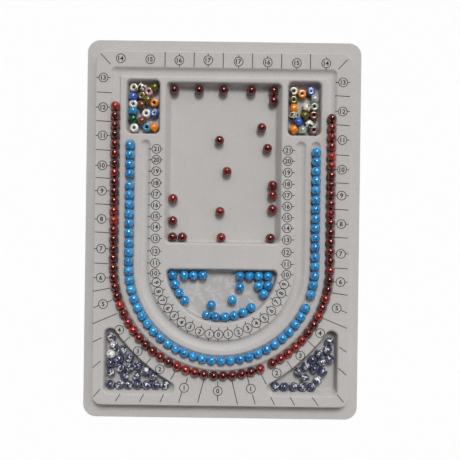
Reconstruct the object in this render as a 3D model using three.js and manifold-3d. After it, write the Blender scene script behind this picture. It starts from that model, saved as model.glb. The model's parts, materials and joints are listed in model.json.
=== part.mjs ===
// A flocked bead board and the beads that lie in it, in millimetres.
// +Z is up and +Y points to the far end, where the two small compartments are.
// The origin lies on the table, under the middle of the board.
import * as THREE from "three";
import { ConvexGeometry } from "three/addons/geometries/ConvexGeometry.js";
import { mergeVertices } from "three/addons/utils/BufferGeometryUtils.js";
import Module from "manifold-3d";

const wasm = await Module();
wasm.setup();

// The formed sheet: its trimmed outline, its raised top and its walls.
const BOARD_WIDTH = 240;
const BOARD_LENGTH = 330;
const BOARD_CORNER = 11;
const BOARD_HEIGHT = 11;
const SHEET = 1;
const SIDE_MARGIN = 9.6; // from the trimmed edge to the raised top, along the sides
const END_MARGIN = 12.6; // the same, at both ends
const TOP_CORNER = 8;
const RIM_ROUND = 0.7;
const FOOT_ROUND = 1.8;
const WALL_LEAN = 0.2; // how far a wall leans in for each millimetre of depth
const FLOOR_LIFT = 0.6; // from the table to the underside of the tray floors

// The three bead channels, one inside the other.
const CHANNEL_PLAY = 0.4; // how much wider than its beads a channel is
const CHANNEL_DEPTH = 2.4;
const CHANNEL_SPACING = 12.9;
const SIDE_STRIP = 17.6; // from the edge of the raised top to the middle of the outer channel
const FRONT_STRIP = 26.6;
const BACK_STRIP = 18.4;

// The small compartments in the two far corners.
const COMPARTMENT_LENGTH = 47.8;
const COMPARTMENT_CORNER = 5;
const COMPARTMENT_OUTER_LAND = 8; // from the middle of the outer channel
const COMPARTMENT_BACK_LAND = 5.6; // from the middle of the outer channel's back run
const COMPARTMENT_FRONT_LAND = 4.7; // to the ends of the two inner channels

// The big tray in the middle and the half-round tray in front of it.
const SCALE_ISLAND = 17.9; // from the middle of the inner channel to the trays
const CENTRE_CORNER = 5;
const CENTRE_BACK_STEP = 1.8; // how far its far wall lies in front of the compartments' far walls
const TRAY_LAND = 5.3; // between the big tray and the compartments
const LABEL_LAND = 21;
const HALF_ROUND_SETBACK = 1.1; // from the middle of the bend to the straight wall
const HALF_ROUND_CORNER = 5;

// The three-sided trays in the two near corners.
const CORNER_TRAY_SIDE_LAND = 9.1; // from the edge of the raised top
const CORNER_TRAY_FRONT_LAND = 9.2;
const CORNER_TRAY_STRIP = 12.1; // from the middle of the outer channel to the long wall
const CORNER_TRAY_BEND = 163; // radius of the long wall
const CORNER_TRAY_TIP = 6;
const CORNER_TRAY_CORNER = 5.5;
const FRONT_LEAN = 0.45; // the near wall slopes more, so that beads can be swept out

// The beads.
const BEAD = 8.2;
const BEAD_HOLE = 1.2;
const CONTACT = 0.1; // how much beads that touch in a row are drawn together
const TOUCH_FLAT = 2.4; // the widest flat where two heaped beads touch
const HEAP_CONTACT = 0.33; // how much heaped beads are drawn together
const HEAP_PRESS = 0.66; // the most that round ones are
const PONY_PRESS = 2; // the most that short ones are, which can meet with their ends
const LOOSE_GAP = 0.3; // clearance between loose pieces, and between a bead and the board
const PONY_WIDTH = 8;
const PONY_LENGTH = 6;
const PONY_END = 5.6; // the flat of each end, round the hole
const PONY_HOLE = 2.8;

// The two rows: how much of their channels they leave free, the gaps in them, and how many runs of
// beads that hang together each part has. A gap is placed by the distance along the channel from the
// nearest point of the bend.
const RED_LEFT_FREE = 30; // from the middle of the back run to the first bead
const RED_RIGHT_FREE = 38;
const RED_GAP_PLACE = 36;
const RED_GAP = 10.5; // from the bead before it to the bead after it
const RED_LEFT_RUNS = 7;
const RED_RIGHT_RUNS = 5;
const BLUE_END_FREE = 1; // from the end of the channel's straight part
const BLUE_FIRST_BEADS = 4; // up to the first gap
const BLUE_FIRST_GAP = 1.9;
const BLUE_GAP_PLACE = 92;
const BLUE_GAP = 11;
const BLUE_MIDDLE_RUNS = 6;
const BLUE_RIGHT_RUNS = 3;
const STRAIGHT_WALL_FREE = 12; // half of the free stretch along the half-round tray's straight wall
const LEFT_ARC = 24; // degrees of the round wall that the arc of beads on its left takes
const CLUSTER_FREE = 27; // from the middle of the tray to the second row on its right

// How finely round forms are faceted.
const CORNER_STEPS = 4;
const BEND_STEPS = 20;
const GROOVE_STEPS = 2;
const BEAD_SIDES = 6;
const ABOVE = 3; // how far a cutting form stands over the board
const LEAST_RADIUS = 0.05;
const SAME_POINT = 1e-3;

const DEGREE = Math.PI / 180;
const DIAGONAL = Math.SQRT1_2;
const ROUND = Array.from({ length: 36 }, (_, i) => 10 * i);

// Places that follow from the sizes above.
const topHalfWidth = BOARD_WIDTH / 2 - SIDE_MARGIN;
const topHalfLength = BOARD_LENGTH / 2 - END_MARGIN;
const outerChannel = topHalfWidth - SIDE_STRIP;
const middleChannel = outerChannel - CHANNEL_SPACING;
const innerChannel = middleChannel - CHANNEL_SPACING;
const bendY = outerChannel + FRONT_STRIP - topHalfLength; // the middle of the three bends
const backRunY = topHalfLength - BACK_STRIP;
const compartmentBack = backRunY - COMPARTMENT_BACK_LAND;
const compartmentFront = compartmentBack - COMPARTMENT_LENGTH;
const channelWidth = BEAD + CHANNEL_PLAY;
const channelEndY = compartmentFront - COMPARTMENT_FRONT_LAND - channelWidth / 2;
const trayHalfWidth = innerChannel - SCALE_ISLAND;
const compartmentInner = trayHalfWidth + TRAY_LAND;
const compartmentOuter = outerChannel - COMPARTMENT_OUTER_LAND;
const centreBack = compartmentBack - CENTRE_BACK_STEP;
const halfRoundEdge = bendY - HALF_ROUND_SETBACK;
const centreFront = halfRoundEdge + LABEL_LAND;
const floorTop = FLOOR_LIFT + SHEET;
const cornerTraySide = topHalfWidth - CORNER_TRAY_SIDE_LAND;
const cornerTrayFront = CORNER_TRAY_FRONT_LAND - topHalfLength;
const longWallShift = (CORNER_TRAY_BEND - outerChannel - CORNER_TRAY_STRIP) * DIAGONAL;

// Solids and meshes.

function solidOf(geometry) {
  geometry.deleteAttribute("normal");
  geometry.deleteAttribute("uv");
  const merged = mergeVertices(geometry, 1e-4);
  const triVerts = new Uint32Array(merged.index.array);
  return new wasm.Manifold(
    new wasm.Mesh({ numProp: 3, vertProperties: merged.attributes.position.array, triVerts }),
  );
}

function geometryOf(solid) {
  const mesh = solid.getMesh();
  const geometry = new THREE.BufferGeometry();
  geometry.setAttribute("position", new THREE.BufferAttribute(mesh.vertProperties, 3));
  geometry.setIndex(new THREE.BufferAttribute(mesh.triVerts, 1));
  geometry.computeVertexNormals();
  return geometry;
}

function joined(solids) {
  return solids.reduce((sum, solid) => sum.add(solid));
}

// A closed skin over rings of points, capped at both ends. The rings run the same way
// round as the flat outline that the caps are cut from.
function loft(rings, capOutline) {
  const count = capOutline.length;
  const positions = rings.flat().flatMap((point) => [point.x, point.y, point.z]);
  const index = [];
  for (let ring = 0; ring + 1 < rings.length; ring += 1) {
    for (let i = 0; i < count; i += 1) {
      const here = ring * count + i;
      const next = ring * count + ((i + 1) % count);
      index.push(here, next, next + count, here, next + count, here + count);
    }
  }
  const last = (rings.length - 1) * count;
  for (const [a, b, c] of THREE.ShapeUtils.triangulateShape(capOutline, [])) {
    index.push(c, b, a, last + a, last + b, last + c);
  }
  const geometry = new THREE.BufferGeometry();
  geometry.setAttribute("position", new THREE.Float32BufferAttribute(positions, 3));
  geometry.setIndex(index);
  return geometry;
}

// Outlines are chains of arcs, which straight sides join. An inset draws every arc in.

function arc(x, y, radius, from, to, steps = CORNER_STEPS) {
  return { x, y, radius, from, to, steps };
}

function outlinePoints(arcs, inset = 0) {
  return arcs.flatMap(({ x, y, radius, from, to, steps }) => {
    const r = Math.max(radius - inset, LEAST_RADIUS);
    return Array.from({ length: steps + 1 }, (_, i) => {
      const angle = (from + ((to - from) * i) / steps) * DEGREE;
      return new THREE.Vector2(x + r * Math.cos(angle), y + r * Math.sin(angle));
    });
  });
}

function roundedRectangle(left, right, front, back, corner) {
  return [
    arc(right - corner, back - corner, corner, 0, 90),
    arc(left + corner, back - corner, corner, 90, 180),
    arc(left + corner, front + corner, corner, 180, 270),
    arc(right - corner, front + corner, corner, 270, 360),
  ];
}

function halfRoundOutline() {
  const cornerY = halfRoundEdge - HALF_ROUND_CORNER;
  const reach = trayHalfWidth - HALF_ROUND_CORNER;
  const cornerX = Math.sqrt(reach ** 2 - (cornerY - bendY) ** 2);
  const dip = Math.atan2(bendY - cornerY, cornerX) / DEGREE;
  return [
    arc(cornerX, cornerY, HALF_ROUND_CORNER, -dip, 90),
    arc(-cornerX, cornerY, HALF_ROUND_CORNER, 90, 180 + dip),
    arc(0, bendY, trayHalfWidth, 180 + dip, 360 - dip, BEND_STEPS),
  ];
}

// The left corner tray at one depth: how far its steep walls and its near wall have come in.
function cornerTrayOutline(inset, frontInset) {
  const tip = Math.max(CORNER_TRAY_TIP - inset, LEAST_RADIUS);
  const corner = Math.max(CORNER_TRAY_CORNER - inset, LEAST_RADIUS);
  const side = inset - cornerTraySide;
  const front = cornerTrayFront + frontInset;
  const bendX = longWallShift;
  const bendCentreY = bendY + longWallShift;
  const bend = CORNER_TRAY_BEND + inset;
  const farTipX = side + tip;
  const farTipY = bendCentreY - Math.sqrt((bend + tip) ** 2 - (farTipX - bendX) ** 2);
  const nearTipY = front + tip;
  const nearTipX = bendX - Math.sqrt((bend + tip) ** 2 - (nearTipY - bendCentreY) ** 2);
  const farTurn = Math.atan2(bendCentreY - farTipY, bendX - farTipX) / DEGREE;
  const nearTurn = Math.atan2(bendCentreY - nearTipY, bendX - nearTipX) / DEGREE;
  const arcs = [
    arc(side + corner, front + corner, corner, 180, 270),
    arc(nearTipX, nearTipY, tip, -90, nearTurn),
    arc(bendX, bendCentreY, bend, nearTurn + 180, farTurn + 180, 2 * CORNER_STEPS),
    arc(farTipX, farTipY, tip, farTurn, 180),
  ];
  return outlinePoints(arcs);
}

// How a pressed wall runs from the floor to the rim: pairs of height and lean. The underside of
// the sheet follows the wall a skin's thickness away, without the small rounds.
function wallLevels(lean, skin) {
  const foot = floorTop + FOOT_ROUND;
  const rim = BOARD_HEIGHT - RIM_ROUND;
  const top = BOARD_HEIGHT + ABOVE;
  const leanAt = (z) => RIM_ROUND + lean * (rim - z) - skin * Math.hypot(1, lean);
  if (skin > 0) {
    const bottom = floorTop - skin;
    return [[bottom, leanAt(bottom)], [top, leanAt(top)]];
  }
  return [
    [floorTop, leanAt(foot) + FOOT_ROUND],
    [foot - FOOT_ROUND * DIAGONAL, leanAt(foot) + FOOT_ROUND * (1 - DIAGONAL)],
    [foot, leanAt(foot)],
    [rim, RIM_ROUND],
    [BOARD_HEIGHT, 0],
    [top, 0],
  ];
}

function raise(points, z) {
  return points.map((point) => new THREE.Vector3(point.x, point.y, z));
}

function trayCutter(arcs, skin) {
  const rings = wallLevels(WALL_LEAN, skin).map(([z, inset]) => raise(outlinePoints(arcs, inset), z));
  return solidOf(loft(rings, outlinePoints(arcs)));
}

function cornerTrayCutter(mirrored, skin) {
  const front = wallLevels(FRONT_LEAN, skin);
  const place = (points) => {
    const turned = points.map((point) => new THREE.Vector2(-point.x, point.y));
    return mirrored ? turned.reverse() : points;
  };
  const rings = wallLevels(WALL_LEAN, skin).map(([z, inset], level) =>
    raise(place(cornerTrayOutline(inset, front[level][1])), z),
  );
  return solidOf(loft(rings, place(cornerTrayOutline(0, 0))));
}

// The channels are shallow grooves of round section with rolled rims.

const grooveRadius = (channelWidth ** 2 / 4 + CHANNEL_DEPTH ** 2) / (2 * CHANNEL_DEPTH);
const grooveCentre = BOARD_HEIGHT - CHANNEL_DEPTH + grooveRadius;

// Half of the section, from beside the lowest point out to the rim and up: sideways and height.
function grooveSide(skin) {
  const radius = grooveRadius + skin;
  const rim = BOARD_HEIGHT - skin;
  const low = skin > 0 ? rim : rim - RIM_ROUND;
  const turn = Math.acos(THREE.MathUtils.clamp((grooveCentre - low) / radius, -1, 1));
  const side = Array.from({ length: GROOVE_STEPS }, (_, i) => {
    const angle = (turn * (i + 1)) / GROOVE_STEPS;
    return new THREE.Vector2(radius * Math.sin(angle), grooveCentre - radius * Math.cos(angle));
  });
  if (skin === 0) {
    side.push(new THREE.Vector2(channelWidth / 2, rim));
  }
  side.push(new THREE.Vector2(side.at(-1).x, BOARD_HEIGHT + ABOVE));
  return side;
}

function grooveBottom(skin) {
  return new THREE.Vector2(0, BOARD_HEIGHT - CHANNEL_DEPTH - skin);
}

function grooveSection(skin) {
  const side = grooveSide(skin);
  const other = side.map((point) => new THREE.Vector2(-point.x, point.y)).reverse();
  return [...other, grooveBottom(skin), ...side];
}

// A point of a channel, by its distance along the channel from the nearest point of the bend.
function alongChannel(halfWidth, distance) {
  const quarter = (halfWidth * Math.PI) / 2;
  const side = Math.sign(distance);
  const bent = Math.min(Math.abs(distance), quarter);
  const heading = (side * bent) / halfWidth;
  const straight = Math.abs(distance) - bent;
  return {
    x: halfWidth * Math.sin(heading),
    y: bendY - halfWidth * Math.cos(heading) + straight,
    heading,
  };
}

function distanceOnLeg(halfWidth, y) {
  return (halfWidth * Math.PI) / 2 + y - bendY;
}

function stationRing(station, section) {
  const left = new THREE.Vector3(-Math.sin(station.heading), Math.cos(station.heading), 0);
  return section.map(
    (point) => new THREE.Vector3(station.x + left.x * point.x, station.y + left.y * point.x, point.y),
  );
}

function grooveAlong(stations, skin) {
  const section = grooveSection(skin);
  return solidOf(loft(stations.map((station) => stationRing(station, section)), section));
}

function grooveEnd(x, y, skin) {
  const profile = [grooveBottom(skin), ...grooveSide(skin), new THREE.Vector2(0, BOARD_HEIGHT + ABOVE)];
  const end = new THREE.LatheGeometry(profile, 4 * CORNER_STEPS);
  return solidOf(end.rotateX(Math.PI / 2).translate(x, y, 0));
}

function bentChannel(halfWidth, endY, skin) {
  const quarter = (halfWidth * Math.PI) / 2;
  const end = distanceOnLeg(halfWidth, endY);
  const bend = Array.from({ length: BEND_STEPS + 1 }, (_, i) => quarter * ((2 * i) / BEND_STEPS - 1));
  const stations = [-end, ...bend, end].map((distance) => alongChannel(halfWidth, distance));
  return joined([
    grooveAlong(stations, skin),
    grooveEnd(-halfWidth, endY, skin),
    grooveEnd(halfWidth, endY, skin),
  ]);
}

function backRun(skin) {
  const ends = [-outerChannel, outerChannel].map((x) => ({ x, y: backRunY, heading: 0 }));
  return grooveAlong(ends, skin);
}

function hollows(skin) {
  const compartment = (left, right) =>
    roundedRectangle(left, right, compartmentFront, compartmentBack, COMPARTMENT_CORNER);
  const centre = roundedRectangle(-trayHalfWidth, trayHalfWidth, centreFront, centreBack, CENTRE_CORNER);
  return joined([
    bentChannel(outerChannel, backRunY, skin),
    backRun(skin),
    bentChannel(middleChannel, channelEndY, skin),
    bentChannel(innerChannel, channelEndY, skin),
    trayCutter(compartment(-compartmentOuter, -compartmentInner), skin),
    trayCutter(compartment(compartmentInner, compartmentOuter), skin),
    trayCutter(centre, skin),
    trayCutter(halfRoundOutline(), skin),
    cornerTrayCutter(false, skin),
    cornerTrayCutter(true, skin),
  ]);
}

// The raised block of the board. Its walls spread towards the table and run out into the flange.
function raisedBlock(skin) {
  const arcs = roundedRectangle(-topHalfWidth, topHalfWidth, -topHalfLength, topHalfLength, TOP_CORNER);
  const rim = BOARD_HEIGHT - RIM_ROUND;
  const foot = SHEET + FOOT_ROUND;
  const spreadAt = (z) => skin * Math.hypot(1, WALL_LEAN) - WALL_LEAN * (rim - z);
  const upper = [
    [0, spreadAt(foot) - FOOT_ROUND],
    [SHEET, spreadAt(foot) - FOOT_ROUND],
    [foot - FOOT_ROUND * DIAGONAL, spreadAt(foot) - FOOT_ROUND * (1 - DIAGONAL)],
    [foot, spreadAt(foot)],
    [rim, 0],
    [BOARD_HEIGHT, RIM_ROUND],
  ];
  const under = [-ABOVE, BOARD_HEIGHT - skin].map((z) => [z, spreadAt(z)]);
  const rings = (skin > 0 ? under : upper).map(([z, inset]) => raise(outlinePoints(arcs, inset), z));
  return solidOf(loft(rings, outlinePoints(arcs)));
}

function flange() {
  const half = [BOARD_WIDTH / 2, BOARD_LENGTH / 2];
  const arcs = roundedRectangle(-half[0], half[0], -half[1], half[1], BOARD_CORNER);
  const outline = outlinePoints(arcs);
  return solidOf(loft([raise(outline, 0), raise(outline, SHEET)], outline));
}

function boardShell() {
  const upper = raisedBlock(0).add(flange()).subtract(hollows(0));
  const underneath = raisedBlock(SHEET).subtract(hollows(SHEET));
  return geometryOf(upper.subtract(underneath));
}

// Beads.

const beadRadius = BEAD / 2;
const beadPitch = BEAD - CONTACT;
const tightness = Math.max(0, beadRadius + LOOSE_GAP - grooveRadius); // lifts a bead in a tight groove
const rowHeight = BOARD_HEIGHT - CHANNEL_DEPTH + LOOSE_GAP + 2 * tightness + beadRadius;
const trayBeadHeight = floorTop + LOOSE_GAP + beadRadius;

// How far inside a tray's mouth the middle of a bead lies when it leans on a wall.
function wallReach(lean, radius = beadRadius) {
  const lowered = BOARD_HEIGHT - RIM_ROUND - floorTop - LOOSE_GAP - radius;
  return RIM_ROUND + lean * lowered + (radius + LOOSE_GAP) * Math.hypot(1, lean);
}

// The profile of a round bead, from one drilled end to the other: along the hole and outwards.
const beadShoulder = 0.3 * beadRadius;
const beadGirth = Math.sqrt(beadRadius ** 2 - beadShoulder ** 2);

// One round bead with its hole lying along Y.
function drilledBead() {
  const hole = BEAD_HOLE / 2;
  const end = Math.sqrt(beadRadius ** 2 - hole ** 2);
  const profile = [
    new THREE.Vector2(hole, -end),
    new THREE.Vector2(beadGirth, -beadShoulder),
    new THREE.Vector2(beadGirth, beadShoulder),
    new THREE.Vector2(hole, end),
    new THREE.Vector2(hole, -end),
  ];
  return new THREE.LatheGeometry(profile, BEAD_SIDES);
}

// A run of a row: beads that touch at their drilled ends, as one skin along the channel.
function beadRun(halfWidth, first, count) {
  const neck = Math.sqrt(beadRadius ** 2 - (beadPitch / 2) ** 2);
  const profile = [[-beadPitch / 2, neck], [-beadShoulder, beadGirth], [beadShoulder, beadGirth]];
  const stations = Array.from({ length: count }, (_, bead) =>
    profile.map(([along, radius]) => [first + bead * beadPitch + along, radius]),
  ).flat();
  stations.push([first + (count - 0.5) * beadPitch, neck]);
  const circle = (radius) =>
    Array.from({ length: BEAD_SIDES }, (_, i) => {
      const angle = ((i + 0.5) / BEAD_SIDES) * 2 * Math.PI;
      return new THREE.Vector2(radius * Math.cos(angle), rowHeight + radius * Math.sin(angle));
    });
  const rings = stations.map(([distance, radius]) =>
    stationRing(alongChannel(halfWidth, distance), circle(radius)),
  );
  return loft(rings, circle(1));
}

// The beads of a stretch of channel, shared evenly among its runs: where each run starts, and its count.
function runsBetween(from, to, runs) {
  const beads = beadsThatFit(to - from - (runs - 1) * LOOSE_GAP);
  return Array.from({ length: runs }, (_, i) => {
    const before = Math.round((i * beads) / runs);
    const count = Math.round(((i + 1) * beads) / runs) - before;
    return [from + before * beadPitch + i * LOOSE_GAP, count];
  });
}

// The points that a heaped bead is rounded from. One of them is its lowest point.
function roundPoints(place) {
  const ball = new THREE.IcosahedronGeometry(beadRadius);
  ball.deleteAttribute("normal");
  ball.deleteAttribute("uv");
  ball.rotateX(Math.atan2(2, 1 + Math.sqrt(5)));
  const corners = mergeVertices(ball).attributes.position;
  return Array.from({ length: corners.count }, (_, i) =>
    new THREE.Vector3().fromBufferAttribute(corners, i).add(place),
  );
}

// The small flats where the beads of a heap touch, each halfway between two beads.
function touchingFlats(places, width) {
  const flats = [];
  places.forEach((one, i) => {
    for (const other of places.slice(i + 1)) {
      const towards = other.clone().sub(one);
      const half = towards.length() / 2;
      if (half < width / 2) {
        const radius = Math.min(Math.sqrt((width / 2) ** 2 - half ** 2), TOUCH_FLAT / 2);
        const middle = one.clone().add(other).multiplyScalar(0.5);
        const across = new THREE.Vector3(-towards.y, towards.x, 0).setLength(radius);
        const up = towards.clone().cross(across).setLength(radius);
        const corners = [0, 120, 240].map((turn) =>
          middle
            .clone()
            .addScaledVector(across, Math.sin(turn * DEGREE))
            .addScaledVector(up, Math.cos(turn * DEGREE)),
        );
        flats.push({ beads: [one, other], middle, corners });
      }
    }
  });
  return flats;
}

function polar([x, y], radius, angle) {
  return [x + radius * Math.cos(angle * DEGREE), y + radius * Math.sin(angle * DEGREE)];
}

function apart(one, other) {
  return Math.hypot(one[0] - other[0], one[1] - other[1]);
}

function isInside(outline, [x, y]) {
  const crossed = outline.filter((from, i) => {
    const to = outline[(i + 1) % outline.length];
    return from.y > y !== to.y > y && x < from.x + ((y - from.y) * (to.x - from.x)) / (to.y - from.y);
  });
  return crossed.length % 2 === 1;
}

// Lays a heap bead by bead. A bead goes where it is wished, if it has room there and touches another
// one, or else to the nearest such place round the beads that lie already. A bead that finds none
// stays out, and the first one's place stands for it.
function settle(wishes, pitch, closest, hasRoom) {
  const spots = [];
  for (const wish of wishes) {
    const wished = wish(spots);
    const round = spots.flatMap((spot) => ROUND.map((angle) => polar(spot, pitch, angle)));
    const fits = [wished, ...round].filter((spot) => {
      const nearest = Math.min(...spots.map((other) => apart(other, spot)));
      return hasRoom(spot) && nearest >= closest && nearest < pitch + 0.9 * HEAP_CONTACT;
    });
    fits.sort((one, other) => apart(one, wished) - apart(other, wished));
    spots.push(spots.length === 0 ? wished : (fits[0] ?? spots[0]));
  }
  return spots;
}

// Beads of one heap as one skin. It passes from bead to bead through the flats, which are left open.
function heap(places, width, pointsOf) {
  const flats = touchingFlats(places, width);
  const positions = [];
  for (const place of places) {
    const own = flats.filter(({ beads }) => beads.includes(place));
    const free = pointsOf(place).filter((point) =>
      own.every(({ middle }) => point.clone().sub(middle).dot(middle.clone().sub(place)) < 0),
    );
    const hull = new ConvexGeometry([...free, ...own.flatMap(({ corners }) => corners)]);
    const corners = hull.attributes.position;
    for (let i = 0; i < corners.count; i += 3) {
      const face = [i, i + 1, i + 2].map((k) => new THREE.Vector3().fromBufferAttribute(corners, k));
      const centre = face[0].clone().add(face[1]).add(face[2]).divideScalar(3);
      if (own.every(({ middle }) => middle.distanceTo(centre) > SAME_POINT)) {
        positions.push(...face.flatMap((corner) => corner.toArray()));
      }
    }
  }
  const geometry = new THREE.BufferGeometry();
  geometry.setAttribute("position", new THREE.Float32BufferAttribute(positions, 3));
  geometry.computeVertexNormals();
  return geometry;
}

function roundHeap(spots) {
  const places = spots.map(([x, y]) => new THREE.Vector3(x, y, trayBeadHeight));
  return heap(places, BEAD, roundPoints);
}

// Short wide-holed beads. A bead either stands, with its hole upright, or lies on its side with
// its hole along the given heading.
function ponyTurn({ heading }) {
  const turn = new THREE.Quaternion();
  if (heading !== undefined) {
    const lying = new THREE.Vector3(Math.cos(heading * DEGREE), Math.sin(heading * DEGREE), 0);
    turn.setFromUnitVectors(new THREE.Vector3(0, 0, 1), lying);
  }
  return turn;
}

function ponyPoints(place) {
  const half = PONY_LENGTH / 2;
  const rings = [[-half, PONY_END / 2], [0, PONY_WIDTH / 2], [half, PONY_END / 2]];
  return rings.flatMap(([z, radius]) =>
    Array.from({ length: BEAD_SIDES }, (_, i) => {
      const angle = (i / BEAD_SIDES) * 2 * Math.PI;
      const point = new THREE.Vector3(radius * Math.cos(angle), radius * Math.sin(angle), z);
      return point.applyQuaternion(ponyTurn(place)).add(place);
    }),
  );
}

function ponyHole(place) {
  const hole = new THREE.CylinderGeometry(PONY_HOLE / 2, PONY_HOLE / 2, PONY_WIDTH, BEAD_SIDES);
  hole.rotateX(Math.PI / 2).applyQuaternion(ponyTurn(place));
  return solidOf(hole.translate(place.x, place.y, place.z));
}

// How far inside a compartment's mouth the middle of a short bead lies when it leans on a wall, with
// the flat of its end clear of the rounded foot.
function ponyReach() {
  const foot = RIM_ROUND + WALL_LEAN * (BOARD_HEIGHT - RIM_ROUND - floorTop - FOOT_ROUND);
  const footEdge = foot + FOOT_ROUND - LOOSE_GAP / Math.tan(Math.PI / 8);
  return Math.max(wallReach(WALL_LEAN, PONY_WIDTH / 2), footEdge + (PONY_END + LOOSE_GAP) / 2);
}

function ponyHeap(ponies, middleX) {
  const limitX = (compartmentOuter - compartmentInner) / 2 - ponyReach();
  const farY = compartmentBack - ponyReach();
  const nearY = compartmentFront + ponyReach();
  const wishes = ponies.map(([across, down]) => () => [
    middleX + THREE.MathUtils.clamp(across * PONY_WIDTH, -limitX, limitX),
    Math.max(farY - down * PONY_WIDTH, nearY),
  ]);
  const isWithin = (value, low, high) => value > low - SAME_POINT && value < high + SAME_POINT;
  const hasRoom = ([x, y]) => isWithin(x - middleX, -limitX, limitX) && isWithin(y, nearY, farY);
  const spots = settle(wishes, PONY_WIDTH - HEAP_CONTACT, PONY_WIDTH - PONY_PRESS, hasRoom);
  const places = spots.map(([x, y], i) => {
    const heading = ponies[i][2];
    const height = heading === undefined ? PONY_LENGTH : PONY_WIDTH;
    return Object.assign(new THREE.Vector3(x, y, floorTop + LOOSE_GAP + height / 2), { heading });
  });
  const kept = places.filter((_, i) => spots.indexOf(spots[i]) === i);
  const beads = solidOf(heap(kept, PONY_WIDTH, ponyPoints));
  return geometryOf(beads.subtract(joined(kept.map(ponyHole))));
}

// Where the loose beads lie.

const sideWall = trayHalfWidth - wallReach(WALL_LEAN);
const backWall = centreBack - wallReach(WALL_LEAN);
const frontWall = centreFront + wallReach(WALL_LEAN);
const beside = BEAD + LOOSE_GAP;

// A place in the big tray, from its middle to its side walls and from its near wall to its far one.
function inCentreTray(across, along) {
  return [across * sideWall, frontWall + along * (backWall - frontWall)];
}

function nextTo([x, y], across, along) {
  return [x + across * beside, y + along * beside];
}

const CENTRE_BEADS = [
  inCentreTray(-1, 1),
  inCentreTray(-0.5, 1),
  inCentreTray(-0.01, 1),
  inCentreTray(0.55, 1),
  inCentreTray(1, 1),
  nextTo(inCentreTray(1, 1), 0, -1),
  inCentreTray(0.77, 0.75),
  inCentreTray(-0.08, 0.66),
  inCentreTray(0.89, 0.61),
  inCentreTray(0.08, 0.45),
  inCentreTray(1, 0.36),
  nextTo(inCentreTray(1, 0.36), 0, -1),
  nextTo(inCentreTray(1, 0.36), 0, -2.45),
  inCentreTray(-0.05, 0.177),
  inCentreTray(-1, 0.26),
  inCentreTray(-1, 0.11),
  inCentreTray(-1, 0),
  nextTo(inCentreTray(-1, 0), 1, 0),
  inCentreTray(-0.02, 0),
  inCentreTray(0.97, 0),
];

// Beads of the half-round tray, which follow its round wall or its straight one.
const roundWall = trayHalfWidth - wallReach(WALL_LEAN);
const straightWall = halfRoundEdge - wallReach(WALL_LEAN);
const turnPerBead = (2 * Math.asin(beadPitch / 2 / roundWall)) / DEGREE;
const arcStart = 180 - Math.asin((straightWall - bendY) / roundWall) / DEGREE;

function fromBend(radius, angle) {
  return polar([0, bendY], radius, angle);
}

function arcOfBeads(angle, count) {
  return Array.from({ length: count }, (_, i) => fromBend(roundWall, angle + i * turnPerBead));
}

function rowOfBeads(x, y, count, pitch = beadPitch, drop = 0) {
  return Array.from({ length: count }, (_, i) => [x + i * pitch, y - i * drop]);
}

function beadsThatFit(length) {
  return Math.floor(length / beadPitch) + 1;
}

// The second row of the cluster on the right touches the round wall, and the first one follows it.
const clusterY = straightWall - beadPitch;
const clusterX = Math.sqrt(roundWall ** 2 - (clusterY - bendY) ** 2);

const thirdTurn = Math.asin((clusterY - bendY) / roundWall) / DEGREE - turnPerBead;

function rightCluster() {
  return [
    ...rowOfBeads(clusterX, straightWall, beadsThatFit(clusterX - STRAIGHT_WALL_FREE), -beadPitch),
    ...rowOfBeads(clusterX, clusterY, beadsThatFit(clusterX - CLUSTER_FREE), -beadPitch, beside - beadPitch),
    fromBend(roundWall, thirdTurn),
  ];
}

// The single bead on the left comes after the left arc. The near arc starts past the lowest point of
// the wall, and keeps a loose bead's width from that bead and from the cluster.
const looseTurn = (turnPerBead * beside) / beadPitch;
const leftArcBeads = Math.floor(LEFT_ARC / turnPerBead) + 1;
const singleTurn = arcStart + (leftArcBeads - 1) * turnPerBead + looseTurn;

function nearArc() {
  const start = Math.max(270 - 1.57 * turnPerBead, singleTurn + looseTurn);
  const free = 360 + thirdTurn - looseTurn - start;
  return arcOfBeads(start, Math.floor(free / turnPerBead) + 1);
}

function leftRow() {
  const start = fromBend(roundWall, arcStart)[0] + 1.2 * BEAD;
  return rowOfBeads(start, straightWall, beadsThatFit(-STRAIGHT_WALL_FREE - start));
}

const HALF_ROUND_GROUPS = {
  blue_left_arc: arcOfBeads(arcStart, leftArcBeads),
  blue_left_row: leftRow(),
  blue_right_cluster: rightCluster(),
  blue_near_arc: nearArc(),
};
const HALF_ROUND_SINGLES = {
  blue_bead_left: fromBend(roundWall, singleTurn),
  blue_bead_far: [CLUSTER_FREE - 1.35 * BEAD, straightWall - 1.2 * BEAD],
  blue_bead_middle: fromBend(roundWall - 1.64 * BEAD, -71.3),
  blue_bead_near: fromBend(roundWall - 1.15 * BEAD, -105),
};

// The heaps in the corner trays. The first bead lies in the outer corner, or some way from it along
// the near wall, and each other one touches an earlier bead: its number, and in which direction, where
// 0 is inwards and 90 is away from the near wall.
const RIGHT_HEAP_START = 1.95; // in bead widths
const LEFT_HEAP = [
  [0, 0],
  [1, 0],
  [2, 0],
  [3, 0],
  [4, 0],
  [5, 0],
  [3, 99],
  [5, 111],
  [8, 145],
  [9, 143],
  [10, -169],
  [11, 89],
  [11, -177],
  [13, 93],
  [14, 76],
  [13, -61],
  [15, 153],
  [17, 109],
  [17, -110],
  [19, -90],
  [20, -90],
];
const RIGHT_HEAP = [
  [0, 0],
  [1, 0],
  [2, 0],
  [3, 0],
  [0, 131],
  [1, 105],
  [6, 46],
  [7, 141],
  [8, 136],
  [9, -163],
  [10, 157],
  [8, -162],
  [7, -36],
  [9, 136],
  [14, 157],
  [15, 102],
];

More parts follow.
